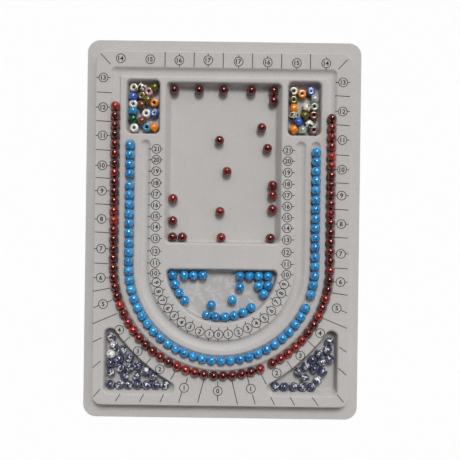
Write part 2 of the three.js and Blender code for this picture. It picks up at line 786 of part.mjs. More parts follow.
function cornerHeap(start, steps, side) {
  const room = cornerTrayOutline(wallReach(WALL_LEAN), wallReach(FRONT_LEAN));
  const corner = [wallReach(WALL_LEAN) - cornerTraySide, cornerTrayFront + wallReach(FRONT_LEAN)];
  const pitch = BEAD - HEAP_CONTACT;
  const first = () => [corner[0] + start * BEAD, corner[1] + SAME_POINT];
  const others = steps.map(([touched, direction]) => (spots) => polar(spots[touched], pitch, direction));
  const spots = settle([first, ...others], pitch, BEAD - HEAP_PRESS, (spot) => isInside(room, spot));
  return roundHeap([...new Set(spots)].map(([x, y]) => [-side * x, y]));
}

// Short beads in the compartments, in bead widths: sideways from the middle, away from the far wall
// and, for one that lies on its side, the heading of its hole.
const LEFT_PONIES = [
  [-1.07, 0.04],
  [-0.2, 0, 60],
  [0.53, 0.45],
  [1.14, 0, 20],
  [-0.23, 0.92],
  [-1.14, 1.05, 80],
  [0.42, 1.37, 30],
  [1.14, 1.67],
  [-1.12, 1.82],
  [-0.24, 1.9, 0],
  [-1.14, 2.6, 80],
  [-1.14, 3.47, 40],
  [-0.19, 3.67, 45],
  [0.3, 2.82],
  [1.14, 2.75],
  [-1, 4.4],
  [0.38, 4.32],
  [1.14, 4.37, 60],
];
const RIGHT_PONIES = [
  [-1.14, 0.2],
  [-0.24, 0.5],
  [0.7, 0.2],
  [-1.14, 1.16],
  [1.14, 1.02, 0],
  [-1.1, 2.07, 0],
  [1.11, 1.87],
  [0.23, 1.97, 70],
  [-1.12, 2.87, 60],
  [0.07, 2.85, 45],
  [1.05, 2.82],
  [-0.6, 3.55, 20],
  [-1.1, 4.37, 30],
  [-0.15, 4.45, 90],
  [0.54, 3.8, 130],
  [1.07, 4.4],
];

// The assembly.

const board = new THREE.Group();

const FLOCK = { color: 0xb8b4b1, roughness: 0.95 };
const RED_STONE = { color: 0x7d1410, roughness: 0.15 };
const BLUE_STONE = { color: 0x2b8fd6, roughness: 0.25 };
const BLUE_AND_WHITE_STONE = { color: 0x7b86a6, roughness: 0.2 };
const MIXED_GLASS = { color: 0xc8a878, roughness: 0.2 };

function addPiece(name, geometry, look) {
  const mesh = new THREE.Mesh(geometry, new THREE.MeshStandardMaterial({ ...look, metalness: 0 }));
  mesh.name = name;
  board.add(mesh);
  return mesh;
}

function addDrilledBead(name, [x, y], heading, look) {
  const bead = addPiece(name, drilledBead(), look);
  bead.position.set(x, y, trayBeadHeight);
  bead.rotation.z = heading * DEGREE;
}

function addRow(name, halfWidth, stretches, look) {
  const runs = stretches.flatMap(([from, to, count]) => runsBetween(from, to, count));
  runs.forEach(([first, count], i) => {
    addPiece(`${name}_${i + 1}`, beadRun(halfWidth, first, count), look);
  });
}

addPiece("board_shell", boardShell(), FLOCK);

const redStart = -distanceOnLeg(outerChannel, backRunY - RED_LEFT_FREE);
const redEnd = distanceOnLeg(outerChannel, backRunY - RED_RIGHT_FREE);
const redStretches = [
  [redStart, RED_GAP_PLACE, RED_LEFT_RUNS],
  [RED_GAP_PLACE + RED_GAP, redEnd, RED_RIGHT_RUNS],
];
addRow("red_run", outerChannel, redStretches, RED_STONE);

const blueEnd = distanceOnLeg(middleChannel, channelEndY - BLUE_END_FREE);
const blueStretches = [
  [-blueEnd, (BLUE_FIRST_BEADS - 1) * beadPitch - blueEnd, 1],
  [BLUE_FIRST_BEADS * beadPitch + BLUE_FIRST_GAP - blueEnd, BLUE_GAP_PLACE, BLUE_MIDDLE_RUNS],
  [BLUE_GAP_PLACE + BLUE_GAP, blueEnd, BLUE_RIGHT_RUNS],
];
addRow("blue_run", middleChannel, blueStretches, BLUE_STONE);

const HEADING_STEP = 47; // turns each loose bead's hole another way than the last one's
CENTRE_BEADS.forEach((spot, i) => {
  addDrilledBead(`red_bead_${i + 1}`, spot, i * HEADING_STEP, RED_STONE);
});
for (const [name, spots] of Object.entries(HALF_ROUND_GROUPS)) {
  addPiece(name, roundHeap(spots), BLUE_STONE);
}
Object.entries(HALF_ROUND_SINGLES).forEach(([name, spot], i) => {
  addDrilledBead(name, spot, i * HEADING_STEP, BLUE_STONE);
});
addPiece("left_corner_heap", cornerHeap(0, LEFT_HEAP, -1), BLUE_AND_WHITE_STONE);
addPiece("right_corner_heap", cornerHeap(RIGHT_HEAP_START, RIGHT_HEAP, 1), BLUE_AND_WHITE_STONE);
const compartmentMiddle = (compartmentInner + compartmentOuter) / 2;
addPiece("left_compartment_heap", ponyHeap(LEFT_PONIES, -compartmentMiddle), MIXED_GLASS);
addPiece("right_compartment_heap", ponyHeap(RIGHT_PONIES, compartmentMiddle), MIXED_GLASS);

export default board;
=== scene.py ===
import json
import math
import random

import bmesh
import bpy
from mathutils import Euler, Matrix, Vector


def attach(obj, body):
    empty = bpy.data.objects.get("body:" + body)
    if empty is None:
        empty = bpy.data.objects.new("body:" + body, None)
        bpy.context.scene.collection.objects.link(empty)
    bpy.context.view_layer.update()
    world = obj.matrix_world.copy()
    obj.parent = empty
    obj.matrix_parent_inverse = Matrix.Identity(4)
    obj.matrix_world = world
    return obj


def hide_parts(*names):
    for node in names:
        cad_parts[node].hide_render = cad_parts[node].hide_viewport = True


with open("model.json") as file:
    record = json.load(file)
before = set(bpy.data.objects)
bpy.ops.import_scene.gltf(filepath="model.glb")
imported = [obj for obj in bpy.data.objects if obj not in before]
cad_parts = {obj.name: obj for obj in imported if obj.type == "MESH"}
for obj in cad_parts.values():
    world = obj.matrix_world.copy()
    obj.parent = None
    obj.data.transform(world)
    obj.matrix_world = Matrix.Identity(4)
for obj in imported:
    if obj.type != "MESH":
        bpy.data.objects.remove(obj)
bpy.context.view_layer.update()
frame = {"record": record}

MM = 0.001
chance = random.Random(23)

# Sizes of the board in millimetres. They are those of the solids, apart from the rounds and the side walls
# of the centre tray.
BOARD_HALF_WIDTH, BOARD_HALF_LENGTH, BOARD_HEIGHT = 120.0, 165.0, 11.0
BOARD_CORNER = 11.0
SHEET = 1.0
TOP_HALF_WIDTH, TOP_HALF_LENGTH, TOP_CORNER = 110.4, 152.4, 8.0
FLOOR = 1.6
WALL_LEAN = 0.2
GENTLE_LEAN = 0.45  # of the corner trays' near walls and the centre tray's side walls
WALL_START = 0.7  # how far in a wall has come at WALL_HEIGHT
WALL_HEIGHT = 10.3
RIM_ROUND, FOOT_ROUND = 1.9, 2.4  # of the trays' walls
BLOCK_RIM, BLOCK_FOOT = 1.1, 0.8  # of the raised block's outer walls
EDGE_ROUND = 0.6  # of the flange's upper edge
OUTER_CHANNEL, MIDDLE_CHANNEL, INNER_CHANNEL = 92.8, 79.9, 67.0
CHANNEL_WIDTH, CHANNEL_DEPTH, CHANNEL_RIM = 8.6, 2.4, 2.2
BEND_Y = -33.0
BACK_RUN_Y = 134.0
CHANNEL_END_Y = 71.6
TRAY_HALF_WIDTH = 49.1
CENTRE_FRONT, CENTRE_BACK = -13.1, 126.6
CENTRE_SPREAD = 1.4  # what a gentler side wall of the centre tray needs to clear the beads on it
COMPARTMENT_INNER, COMPARTMENT_OUTER = 54.4, 84.8
COMPARTMENT_FRONT, COMPARTMENT_BACK = 80.6, 128.4
HALF_ROUND_EDGE = -34.1
CORNER_TRAY_SIDE, CORNER_TRAY_FRONT = 101.3, -143.2
CORNER_TRAY_BEND, CORNER_TRAY_TIP, CORNER_TRAY_CORNER = 163.0, 6.0, 5.5
LONG_WALL_SHIFT = 41.08
TRAY_CORNER = 5.0
SHARP_CORNER = 0.3  # where a tray has drawn in past its own corner
ABOVE = 3.0  # how far a cutting form reaches past the board
CORNER_STEPS, BEND_STEPS, ROUND_STEPS = 10, 80, 5
SHEET_CREASE, BEAD_CREASE = 38, 50  # degrees between faces whose edge stays sharp

# Sizes of the beads in millimetres.
BEAD_RADIUS = 4.09
HEAPED_RADIUS = 3.95
BEAD_HOLE = 0.6
PITCH = 8.1
LOOSE_GAP = 0.3
ROW_HEIGHT = 13.0
TRAY_HEIGHT = 6.0
PONY_RADIUS, PONY_END_RADIUS, PONY_HALF_LENGTH, PONY_HOLE = 3.95, 2.8, 2.95, 1.4
PONY_LIP, PONY_LIP_CORNER = 0.35, 0.1
STANDING_HEIGHT, LYING_HEIGHT = 4.9, 5.9
HOLE_END = 0.9  # of the radius, where the wall of a hole ends
BALL_STEPS, BARREL_STEPS, BEAD_SIDES = 18, 12, 28
STONE_BLOCK = 900  # side of the block of stone that beads are cut from


# Finishes.

class Value:
    """A number, colour or vector that a node gives. Sums of numbers add Math nodes."""

    def __init__(self, finish, socket):
        self.finish = finish
        self.socket = socket

    def maths(self, operation, first, second):
        return self.finish.add("ShaderNodeMath", {"operation": operation}, {0: first, 1: second})

    def __add__(self, other):
        return self.maths("ADD", self, other)

    def __radd__(self, other):
        return self.maths("ADD", other, self)

    def __sub__(self, other):
        return self.maths("SUBTRACT", self, other)

    def __rsub__(self, other):
        return self.maths("SUBTRACT", other, self)

    def __mul__(self, other):
        return self.maths("MULTIPLY", self, other)

    def __rmul__(self, other):
        return self.maths("MULTIPLY", other, self)

    def __gt__(self, other):
        return self.maths("GREATER_THAN", self, other)

    def __lt__(self, other):
        return self.maths("LESS_THAN", self, other)


class Finish:
    """A material: its nodes and its shader."""

    FAR_AWAY = 1000

    def __init__(self, name, plain):
        self.material = bpy.data.materials.new(name)
        self.material.use_nodes = True
        self.tree = self.material.node_tree
        self.shader = self.tree.nodes["Principled BSDF"]
        for socket, value in plain.items():
            self.shader.inputs[socket].default_value = value

    def add(self, kind, settings, inputs, output=0):
        node = self.tree.nodes.new(kind)
        for key, value in settings.items():
            setattr(node, key, value)
        for key, value in inputs.items():
            self.feed(node.inputs[key], value)
        return Value(self, node.outputs[output])

    def feed(self, socket, value):
        if isinstance(value, Value):
            self.tree.links.new(value.socket, socket)
        else:
            socket.default_value = value

    def set(self, socket, value):
        self.feed(self.shader.inputs[socket], value)

    def on_object(self):
        """The place on the piece, in millimetres."""
        place = self.add("ShaderNodeTexCoord", {}, {}, "Object")
        return self.scaled(place, 1 / MM)

    def from_bend(self, place):
        """How far a place is from the middle of the half-round tray, in millimetres. Places behind the
        tray's straight wall count as far away."""
        across, along = [self.add("ShaderNodeSeparateXYZ", {}, {0: place}, axis) for axis in "XY"]
        ahead = along - BEND_Y
        squared = across * across + ahead * ahead
        return self.maths("SQRT", squared) + self.FAR_AWAY * (along > HALF_ROUND_EDGE)

    def maths(self, operation, value):
        return self.add("ShaderNodeMath", {"operation": operation}, {0: value})

    def scaled(self, vector, by):
        return self.add("ShaderNodeVectorMath", {"operation": "SCALE"}, {0: vector, "Scale": by})

    def painted(self, name, output):
        """What the mesh carries under this name: a number (Fac) or a vector (Vector)."""
        return self.add("ShaderNodeAttribute", {"attribute_name": name}, {}, output)

    def stone(self):
        """A place in the stone, and the tone of its bead."""
        return self.painted("grain", "Vector"), self.painted("tone", "Fac")

    def noise(self, place, scale, detail=2.0, roughness=0.5, distortion=0.0):
        values = {"Vector": place, "Scale": scale, "Detail": detail, "Roughness": roughness}
        return self.add("ShaderNodeTexNoise", {}, {**values, "Distortion": distortion}, "Fac")

    def cells(self, place, scale):
        return self.add("ShaderNodeTexVoronoi", {}, {"Vector": place, "Scale": scale}, "Distance")

    def between(self, value, low, high):
        """0 where the value is low, 1 where it is high."""
        inputs = {"Value": value, "From Min": low, "From Max": high}
        return self.add("ShaderNodeMapRange", {"interpolation_type": "SMOOTHSTEP"}, inputs)

    def mix(self, factor, one, other):
        colours = {0: factor, 6: one, 7: other}
        return self.add("ShaderNodeMix", {"data_type": "RGBA"}, colours, 2)

    def bump(self, height, distance, strength):
        inputs = {"Height": height, "Distance": distance * MM, "Strength": strength}
        return self.add("ShaderNodeBump", {}, inputs)


def rgb(red, green, blue):
    return (red, green, blue, 1.0)


FLOCK_DARK, FLOCK_PALE = rgb(0.36, 0.345, 0.333), rgb(0.53, 0.507, 0.49)
TUFT, WORN = rgb(0.50, 0.48, 0.468), rgb(0.50, 0.485, 0.475)
TUFT_SHARE, WORN_SHARE, TUFT_RELIEF = 0.35, 0.3, 0.6
SMUDGE_PALE, SMUDGE_DARK = rgb(0.53, 0.52, 0.515), rgb(0.31, 0.303, 0.298)
PALE_SHARE, DARK_SHARE = 0.55, 0.35
SMUDGE_START, SMUDGE_FULL = 1, 8  # inwards from the half-round tray's rim


def grey_flock():
    finish = Finish("grey_flock", {"Roughness": 0.95, "Specular IOR Level": 0.15})
    place = finish.on_object()
    fibres = finish.noise(place, scale=1.9, detail=3.0, roughness=0.7)
    tufts = finish.noise(place, scale=0.45, detail=2.0, roughness=0.6)
    rubbed = finish.noise(place, scale=0.035, detail=3.0, roughness=0.55, distortion=0.6)
    stains = finish.noise(place, scale=0.16, detail=4.0, roughness=0.65, distortion=0.8)
    coat = finish.mix(finish.between(fibres, low=0.25, high=0.75), FLOCK_DARK, FLOCK_PALE)
    coat = finish.mix(finish.between(tufts, low=0.3, high=0.7) * TUFT_SHARE, coat, TUFT)
    coat = finish.mix(finish.between(rubbed, low=0.45, high=0.75) * WORN_SHARE, coat, WORN)
    rim = TRAY_HALF_WIDTH
    half_round = finish.between(finish.from_bend(place), low=rim - SMUDGE_START, high=rim - SMUDGE_FULL)
    smudges = finish.between(stains, low=0.42, high=0.62)
    coat = finish.mix(half_round * smudges * PALE_SHARE, coat, SMUDGE_PALE)
    coat = finish.mix(half_round * (1 - smudges) * DARK_SHARE, coat, SMUDGE_DARK)
    finish.set("Base Color", coat)
    finish.set("Normal", finish.bump(fibres + TUFT_RELIEF * tufts, distance=0.16, strength=0.8))
    return finish.material


INK_FULL, INK_THIN = rgb(0.012, 0.012, 0.013), rgb(0.05, 0.049, 0.049)


def scale_ink():
    finish = Finish("scale_ink", {"Roughness": 0.8, "Specular IOR Level": 0.2})
    cover = finish.between(finish.noise(finish.on_object(), scale=2.2), low=0.35, high=0.7)
    finish.set("Base Color", finish.mix(cover, INK_FULL, INK_THIN))
    return finish.material


# Each stone has a deep and a bright part, and each of these runs from the first colour to the second with
# the tone of the bead.
RED_DEEP = rgb(0.075, 0.002, 0.0015), rgb(0.20, 0.005, 0.003)
RED_BRIGHT = rgb(0.19, 0.005, 0.003), rgb(0.64, 0.03, 0.008)


def red_stone():
    shine = {"IOR": 1.66, "Specular IOR Level": 1.0}
    glow = {"Transmission Weight": 0.4, "Subsurface Weight": 0.5}
    depth = {"Subsurface Scale": 4 * MM, "Subsurface Radius": (1.0, 0.12, 0.08)}
    finish = Finish("red_stone", {**shine, **glow, **depth})
    grain, tone = finish.stone()
    clouds = finish.noise(grain, scale=0.16, detail=3.0, roughness=0.6, distortion=0.8)
    cloud = finish.between(clouds, low=0.35, high=0.7)
    deep = finish.mix(tone * tone, *RED_DEEP)
    bright = finish.mix(tone * tone, *RED_BRIGHT)
    finish.set("Base Color", finish.mix(cloud, deep, bright))
    finish.set("Roughness", 0.13 + 0.04 * cloud)
    return finish.material


BLUE_DEEP = rgb(0.002, 0.085, 0.26), rgb(0.004, 0.14, 0.37)
BLUE_BRIGHT = rgb(0.009, 0.29, 0.64), rgb(0.03, 0.41, 0.80)
BLUE_VEIN, VEIN_SHARE = rgb(0.012, 0.07, 0.15), 0.55


def blue_stone():
    finish = Finish("blue_stone", {"IOR": 1.66, "Specular IOR Level": 1.0})
    grain, tone = finish.stone()
    clouds = finish.noise(grain, scale=0.5, detail=4.0, roughness=0.62, distortion=0.6)
    cloud = finish.between(clouds, low=0.36, high=0.66)
    body = finish.mix(cloud, finish.mix(tone, *BLUE_DEEP), finish.mix(tone, *BLUE_BRIGHT))
    crease = finish.noise(grain, scale=0.22, detail=5.0, roughness=0.65, distortion=1.2)
    vein = 1 - finish.between(finish.maths("ABSOLUTE", crease - 0.5), low=0.004, high=0.02)
    veined = finish.between(tone, low=0.55, high=1.0)
    finish.set("Base Color", finish.mix(vein * veined * VEIN_SHARE, body, BLUE_VEIN))
    finish.set("Roughness", 0.14 + 0.05 * cloud)
    return finish.material


NAVY = rgb(0.001, 0.002, 0.01), rgb(0.02, 0.034, 0.13)
CHALK = rgb(0.56, 0.56, 0.57), rgb(0.84, 0.82, 0.79)


def veined_stone():
    finish = Finish("veined_stone", {"IOR": 1.6, "Specular IOR Level": 0.9})
    grain, tone = finish.stone()
    patches = finish.noise(grain, scale=0.3, detail=3.0, roughness=0.55, distortion=0.8)
    pale = finish.between(patches + 0.18 * tone, low=0.6, high=0.67)
    threads = finish.noise(grain, scale=0.33, detail=4.0, roughness=0.6, distortion=1.6)
    thread = 1 - finish.between(finish.maths("ABSOLUTE", threads - 0.5), low=0.008, high=0.045)
    deep = finish.mix(finish.noise(grain, scale=0.5), *NAVY)
    white = finish.mix(finish.noise(grain, scale=0.8, detail=3.0), *CHALK)
    veins = finish.between(pale + 0.4 * thread, low=0.1, high=0.95)
    finish.set("Base Color", finish.mix(veins, deep, white))
    finish.set("Roughness", 0.13 + 0.1 * pale)
    return finish.material


GLASS_SHADE = 0.62
SPOTS_PER_MM, SPOT_REACH = 0.42, 0.33
RING_REACH = 3.45  # from the middle of the bead
STRIPE_TURN, STRIPE_EDGE = 3.4, 0.25


def glaze(name, colour, second=None, marks="clouds"):
    """The glass of a short bead, with the marks that are laid into it."""
    finish = Finish("glass_" + name, {"Specular IOR Level": 0.9})
    grain = finish.painted("grain", "Vector")
    on_bead = finish.painted("on_bead", "Vector")
    cloud = finish.noise(grain, scale=0.3, detail=3.0, roughness=0.6, distortion=0.5)
    shade = rgb(*(GLASS_SHADE * part for part in colour))
    body = finish.mix(finish.between(cloud, low=0.35, high=0.7), shade, rgb(*colour))
    if marks == "spots":
        mask = finish.cells(on_bead, SPOTS_PER_MM) < SPOT_REACH
    elif marks == "patches":
        mask = finish.between(finish.noise(grain, scale=0.36, distortion=1.0), low=0.5, high=0.56)
    elif marks == "ring":
        out = finish.add("ShaderNodeVectorMath", {"operation": "LENGTH"}, {0: on_bead}, "Value")
        mask = out < RING_REACH
    elif marks == "stripes":
        across = finish.add("ShaderNodeSeparateXYZ", {}, {0: on_bead}, "X")
        mask = finish.maths("SINE", across * STRIPE_TURN) > STRIPE_EDGE
    else:
        mask = None
    finish.set("Base Color", body if mask is None else finish.mix(mask, body, rgb(*second)))
    finish.set("Roughness", 0.1 + 0.1 * cloud)
    return finish.material


# Solids of the formed sheet.

def polar(x, y, radius, degrees):
    turn = math.radians(degrees)
    return (x + radius * math.cos(turn), y + radius * math.sin(turn))


def arc(x, y, radius, start, end, steps=CORNER_STEPS):
    return [polar(x, y, radius, start + (end - start) * i / steps) for i in range(steps + 1)]


def circle(x, y, radius, z, steps):
    return [(*polar(x, y, radius, 360 * i / steps), z) for i in range(steps)]


def rounded_rectangle(left, right, front, back, corner):
    return (
        arc(right - corner, back - corner, corner, 0, 90)
        + arc(left + corner, back - corner, corner, 90, 180)
        + arc(left + corner, front + corner, corner, 180, 270)
        + arc(right - corner, front + corner, corner, 270, 360)
    )


def compartment_mouth(left, right):
    """A small rounded tray that draws in by any inset."""
    def outline(inset, _):
        corner = max(TRAY_CORNER - inset, SHARP_CORNER)
        front, back = COMPARTMENT_FRONT + inset, COMPARTMENT_BACK - inset
        return rounded_rectangle(left + inset, right - inset, front, back, corner)
    return outline


def centre_tray_mouth(inset, side_inset):
    """The long tray: its end walls and its gentler side walls draw in by their own insets."""
    half_width = TRAY_HALF_WIDTH + CENTRE_SPREAD - side_inset
    corner = max(TRAY_CORNER - inset, SHARP_CORNER)
    return rounded_rectangle(-half_width, half_width, CENTRE_FRONT + inset, CENTRE_BACK - inset, corner)


def half_round_mouth(inset, _):
    corner = max(TRAY_CORNER - inset, SHARP_CORNER)
    radius = TRAY_HALF_WIDTH - inset
    corner_y = HALF_ROUND_EDGE - inset - corner
    corner_x = math.sqrt((radius - corner) ** 2 - (corner_y - BEND_Y) ** 2)
    dip = math.degrees(math.atan2(BEND_Y - corner_y, corner_x))
    return (
        arc(corner_x, corner_y, corner, -dip, 90)
        + arc(-corner_x, corner_y, corner, 90, 180 + dip)
        + arc(0, BEND_Y, radius, 180 + dip, 360 - dip, BEND_STEPS)[1:-1]
    )


def corner_tray_mouth(side):
    """The three-sided tray on one side: its steep walls and its near wall draw in by their own insets."""
    def outline(inset, near_inset):
        tip = max(CORNER_TRAY_TIP - inset, SHARP_CORNER)
        corner = max(CORNER_TRAY_CORNER - inset, SHARP_CORNER)
        wall = inset - CORNER_TRAY_SIDE
        front = CORNER_TRAY_FRONT + near_inset
        bend_x, bend_y = LONG_WALL_SHIFT, BEND_Y + LONG_WALL_SHIFT
        bend = CORNER_TRAY_BEND + inset
        far_x = wall + tip
        far_y = bend_y - math.sqrt((bend + tip) ** 2 - (far_x - bend_x) ** 2)
        near_y = front + tip
        near_x = bend_x - math.sqrt((bend + tip) ** 2 - (near_y - bend_y) ** 2)
        far_turn = math.degrees(math.atan2(bend_y - far_y, bend_x - far_x))
        near_turn = math.degrees(math.atan2(bend_y - near_y, bend_x - near_x))
        points = (
            arc(wall + corner, front + corner, corner, 180, 270)
            + arc(near_x, near_y, tip, -90, near_turn)
            + arc(bend_x, bend_y, bend, near_turn + 180, far_turn + 180, 3 * CORNER_STEPS)[1:-1]
            + arc(far_x, far_y, tip, far_turn, 180)
        )
        return points if side < 0 else [(-x, y) for x, y in reversed(points)]
    return outline


def rounding(x, z, radius, start, end):
    """Steps of a rounded edge in a section: sideways and height."""
    return arc(x, z, radius, start, end, ROUND_STEPS)


def tray_wall(lean, skin):
    """A tray's wall from its floor to above the rim: inset and height. The underside of the sheet runs
    a skin's thickness away, without the rounds."""
    slant = math.hypot(1, lean)
    def inset_at(z):
        return WALL_START + lean * (WALL_HEIGHT - z) - skin * slant
    top = BOARD_HEIGHT + ABOVE
    if skin:
        return [(inset_at(FLOOR - skin), FLOOR - skin), (inset_at(top), top)]
    tilt = math.degrees(math.atan(lean))
    foot_z = FLOOR + FOOT_ROUND
    rim_z = BOARD_HEIGHT - RIM_ROUND
    rim_x = inset_at(rim_z) - RIM_ROUND * slant
    foot = rounding(inset_at(foot_z) + FOOT_ROUND * slant, foot_z, FOOT_ROUND, 270, 180 + tilt)
    return foot + rounding(rim_x, rim_z, RIM_ROUND, tilt, 90) + [(rim_x, top)]


def in_scene(name, data):
    thing = bpy.data.objects.new(name, data)
    bpy.context.scene.collection.objects.link(thing)
    return thing


def piece_of(name, vertices, faces):
    mesh = bpy.data.meshes.new(name)
    mesh.from_pydata([Vector(v) * MM for v in vertices], [], faces)
    body = bmesh.new()
    body.from_mesh(mesh)
    bmesh.ops.recalc_face_normals(body, faces=body.faces)
    body.to_mesh(mesh)
    body.free()
    return in_scene(name, mesh)


def band(here, there, count):
    """The faces between two closed loops of points, each given by the number of its first point."""
    return [(here + i, here + (i + 1) % count, there + (i + 1) % count, there + i) for i in range(count)]


def bands(first, last, count):
    """The faces between neighbouring loops, from the first loop to the last."""
    return [face for base in range(first, last, count) for face in band(base, base + count, count)]


def loft(name, rings):
    """A closed skin over rings of points, capped at both ends."""
    count = len(rings[0])
    vertices = [point for ring in rings for point in ring]
    faces = [tuple(range(count)), tuple(range(len(vertices) - count, len(vertices)))]
    return piece_of(name, vertices, faces + bands(0, len(vertices) - count, count))


def tray_form(mouth, skin):
    rings = []
    for (inset, z), (gentle_inset, _) in zip(tray_wall(WALL_LEAN, skin), tray_wall(GENTLE_LEAN, skin)):
        rings.append([(x, y, z) for x, y in mouth(inset, gentle_inset)])
    return loft("tray_form", rings)


GROOVE_RADIUS = (CHANNEL_WIDTH ** 2 / 4 + CHANNEL_DEPTH ** 2) / (2 * CHANNEL_DEPTH)
GROOVE_CENTRE = BOARD_HEIGHT - CHANNEL_DEPTH + GROOVE_RADIUS
RIM_LEVEL = BOARD_HEIGHT - CHANNEL_RIM
RIM_REACH = math.sqrt((GROOVE_RADIUS + CHANNEL_RIM) ** 2 - (GROOVE_CENTRE - RIM_LEVEL) ** 2)
RIM_TURN = math.atan2(RIM_REACH, GROOVE_CENTRE - RIM_LEVEL)


def groove_side(skin):
    """Half of a channel's section, from its lowest point to above the rim."""
    radius = GROOVE_RADIUS + skin
    steps = 2 * ROUND_STEPS
    if skin:
        turn = math.degrees(math.acos((GROOVE_CENTRE - BOARD_HEIGHT + skin) / radius))
        rim = []
    else:
        turn = math.degrees(RIM_TURN)
        rim = rounding(RIM_REACH, RIM_LEVEL, CHANNEL_RIM, 90 + turn, 90)[1:]
    bowl = [polar(0, GROOVE_CENTRE, radius, turn * i / steps - 90) for i in range(steps + 1)]
    side = bowl + rim
    return side + [(side[-1][0], BOARD_HEIGHT + ABOVE)]


def groove_form(stations, skin):
    """A channel's hollow along stations of x, y and heading."""
    side = groove_side(skin)
    section = [(-x, z) for x, z in reversed(side[1:])] + side
    rings = []
    for x, y, heading in stations:
        aside = (-math.sin(heading), math.cos(heading))
        rings.append([(x + across * aside[0], y + across * aside[1], z) for across, z in section])
    return loft("groove_form", rings)


def groove_end(x, y, skin):
    side = groove_side(skin)
    turns = 4 * CORNER_STEPS
    vertices = [(x, y, side[0][1])]
    for radius, z in side[1:]:
        vertices += circle(x, y, radius, z, turns)
    faces = [(0, 1 + i, 1 + (i + 1) % turns) for i in range(turns)]
    faces += bands(1, len(vertices) - turns, turns)
    faces.append(tuple(range(len(vertices) - turns, len(vertices))))
    return piece_of("groove_end", vertices, faces)


def along_channel(half_width, distance):
    """A point of a channel and its heading, by the distance from the nearest point of the bend."""
    quarter = half_width * math.pi / 2
    bent = min(abs(distance), quarter)
    heading = math.copysign(bent / half_width, distance)
    y = BEND_Y - half_width * math.cos(heading) + abs(distance) - bent
    return (half_width * math.sin(heading), y, heading)


def distance_on_leg(half_width, y):
    return half_width * math.pi / 2 + y - BEND_Y


def channel_forms(half_width, end_y, skin):
    quarter = half_width * math.pi / 2
    end = distance_on_leg(half_width, end_y)
    distances = [-end] + [quarter * (2 * i / BEND_STEPS - 1) for i in range(BEND_STEPS + 1)] + [end]
    run = groove_form([along_channel(half_width, d) for d in distances], skin)
    return [run, groove_end(-half_width, end_y, skin), groove_end(half_width, end_y, skin)]


def hollow_forms(skin):
    left = compartment_mouth(-COMPARTMENT_OUTER, -COMPARTMENT_INNER)
    right = compartment_mouth(COMPARTMENT_INNER, COMPARTMENT_OUTER)
    corner_trays = [corner_tray_mouth(side) for side in (-1, 1)]
    mouths = [left, right, centre_tray_mouth, half_round_mouth, *corner_trays]
    back_run = [(-OUTER_CHANNEL, BACK_RUN_Y, 0.0), (OUTER_CHANNEL, BACK_RUN_Y, 0.0)]
    return (
        [tray_form(mouth, skin) for mouth in mouths]
        + [groove_form(back_run, skin)]
        + channel_forms(OUTER_CHANNEL, BACK_RUN_Y, skin)
        + channel_forms(MIDDLE_CHANNEL, CHANNEL_END_Y, skin)
        + channel_forms(INNER_CHANNEL, CHANNEL_END_Y, skin)
    )


def cut(piece, forms):
    """Takes the forms away from the piece and removes them."""
    for form in forms:
        boolean = piece.modifiers.new("cut", "BOOLEAN")
        boolean.operation = "DIFFERENCE"
        boolean.solver = "MANIFOLD"
        boolean.object = form
    settled = piece.evaluated_get(bpy.context.evaluated_depsgraph_get())
    mesh = bpy.data.meshes.new_from_object(settled)
    piece.modifiers.clear()
    piece.data = mesh
    for form in forms:
        bpy.data.objects.remove(form)


def pressed_sheet():
    """The whole board: the flange and the raised block in one skin, with every hollow pressed in."""
    def ring(half_width, half_length, corner, z):
        outline = rounded_rectangle(-half_width, half_width, -half_length, half_length, corner)
        return [(x, y, z) for x, y in outline]

    def block_ring(spread, z):
        return ring(TOP_HALF_WIDTH + spread, TOP_HALF_LENGTH + spread, TOP_CORNER + spread, z)

    slant = math.hypot(1, WALL_LEAN)
    tilt = math.degrees(math.atan(WALL_LEAN))
    def spread_at(z):
        return WALL_LEAN * (WALL_HEIGHT - z)
    rings = [ring(BOARD_HALF_WIDTH, BOARD_HALF_LENGTH, BOARD_CORNER, 0.0)]
    for out, z in rounding(-EDGE_ROUND, SHEET - EDGE_ROUND, EDGE_ROUND, 0, 90):
        rings.append(ring(BOARD_HALF_WIDTH + out, BOARD_HALF_LENGTH + out, BOARD_CORNER + out, z))
    foot_z = SHEET + BLOCK_FOOT
    rim_z = BOARD_HEIGHT - BLOCK_RIM
    foot = rounding(spread_at(foot_z) + BLOCK_FOOT * slant, foot_z, BLOCK_FOOT, 270, 180 + tilt)
    section = foot + rounding(spread_at(rim_z) - BLOCK_RIM * slant, rim_z, BLOCK_RIM, tilt, 90)
    rings += [block_ring(spread, z) for spread, z in section]
    sheet = loft("flocked_board", rings)
    cut(sheet, hollow_forms(0))
    low, high = -ABOVE, BOARD_HEIGHT - SHEET
    under = loft("underside", [block_ring(spread_at(z) - SHEET * slant, z) for z in (low, high)])
    cut(under, hollow_forms(SHEET))
    cut(sheet, [under])
    sheet.data.shade_smooth()
    sheet.data.set_sharp_from_angle(angle=math.radians(SHEET_CREASE))
    weighted = sheet.modifiers.new("even_shading", "WEIGHTED_NORMAL")
    weighted.keep_sharp = True
    return sheet


# The printed scale.

def top_height(x, y):
    """The height of the raised top, with the rims and bowls of its three channels."""
    out = math.hypot(x, y - BEND_Y) if y < BEND_Y else abs(x)
    across = min(abs(out - channel) for channel in (OUTER_CHANNEL, MIDDLE_CHANNEL, INNER_CHANNEL))
    if across < GROOVE_RADIUS * math.sin(RIM_TURN):
        return GROOVE_CENTRE - math.sqrt(GROOVE_RADIUS ** 2 - across ** 2)
    return RIM_LEVEL + math.sqrt(CHANNEL_RIM ** 2 - max(RIM_REACH - across, 0.0) ** 2)


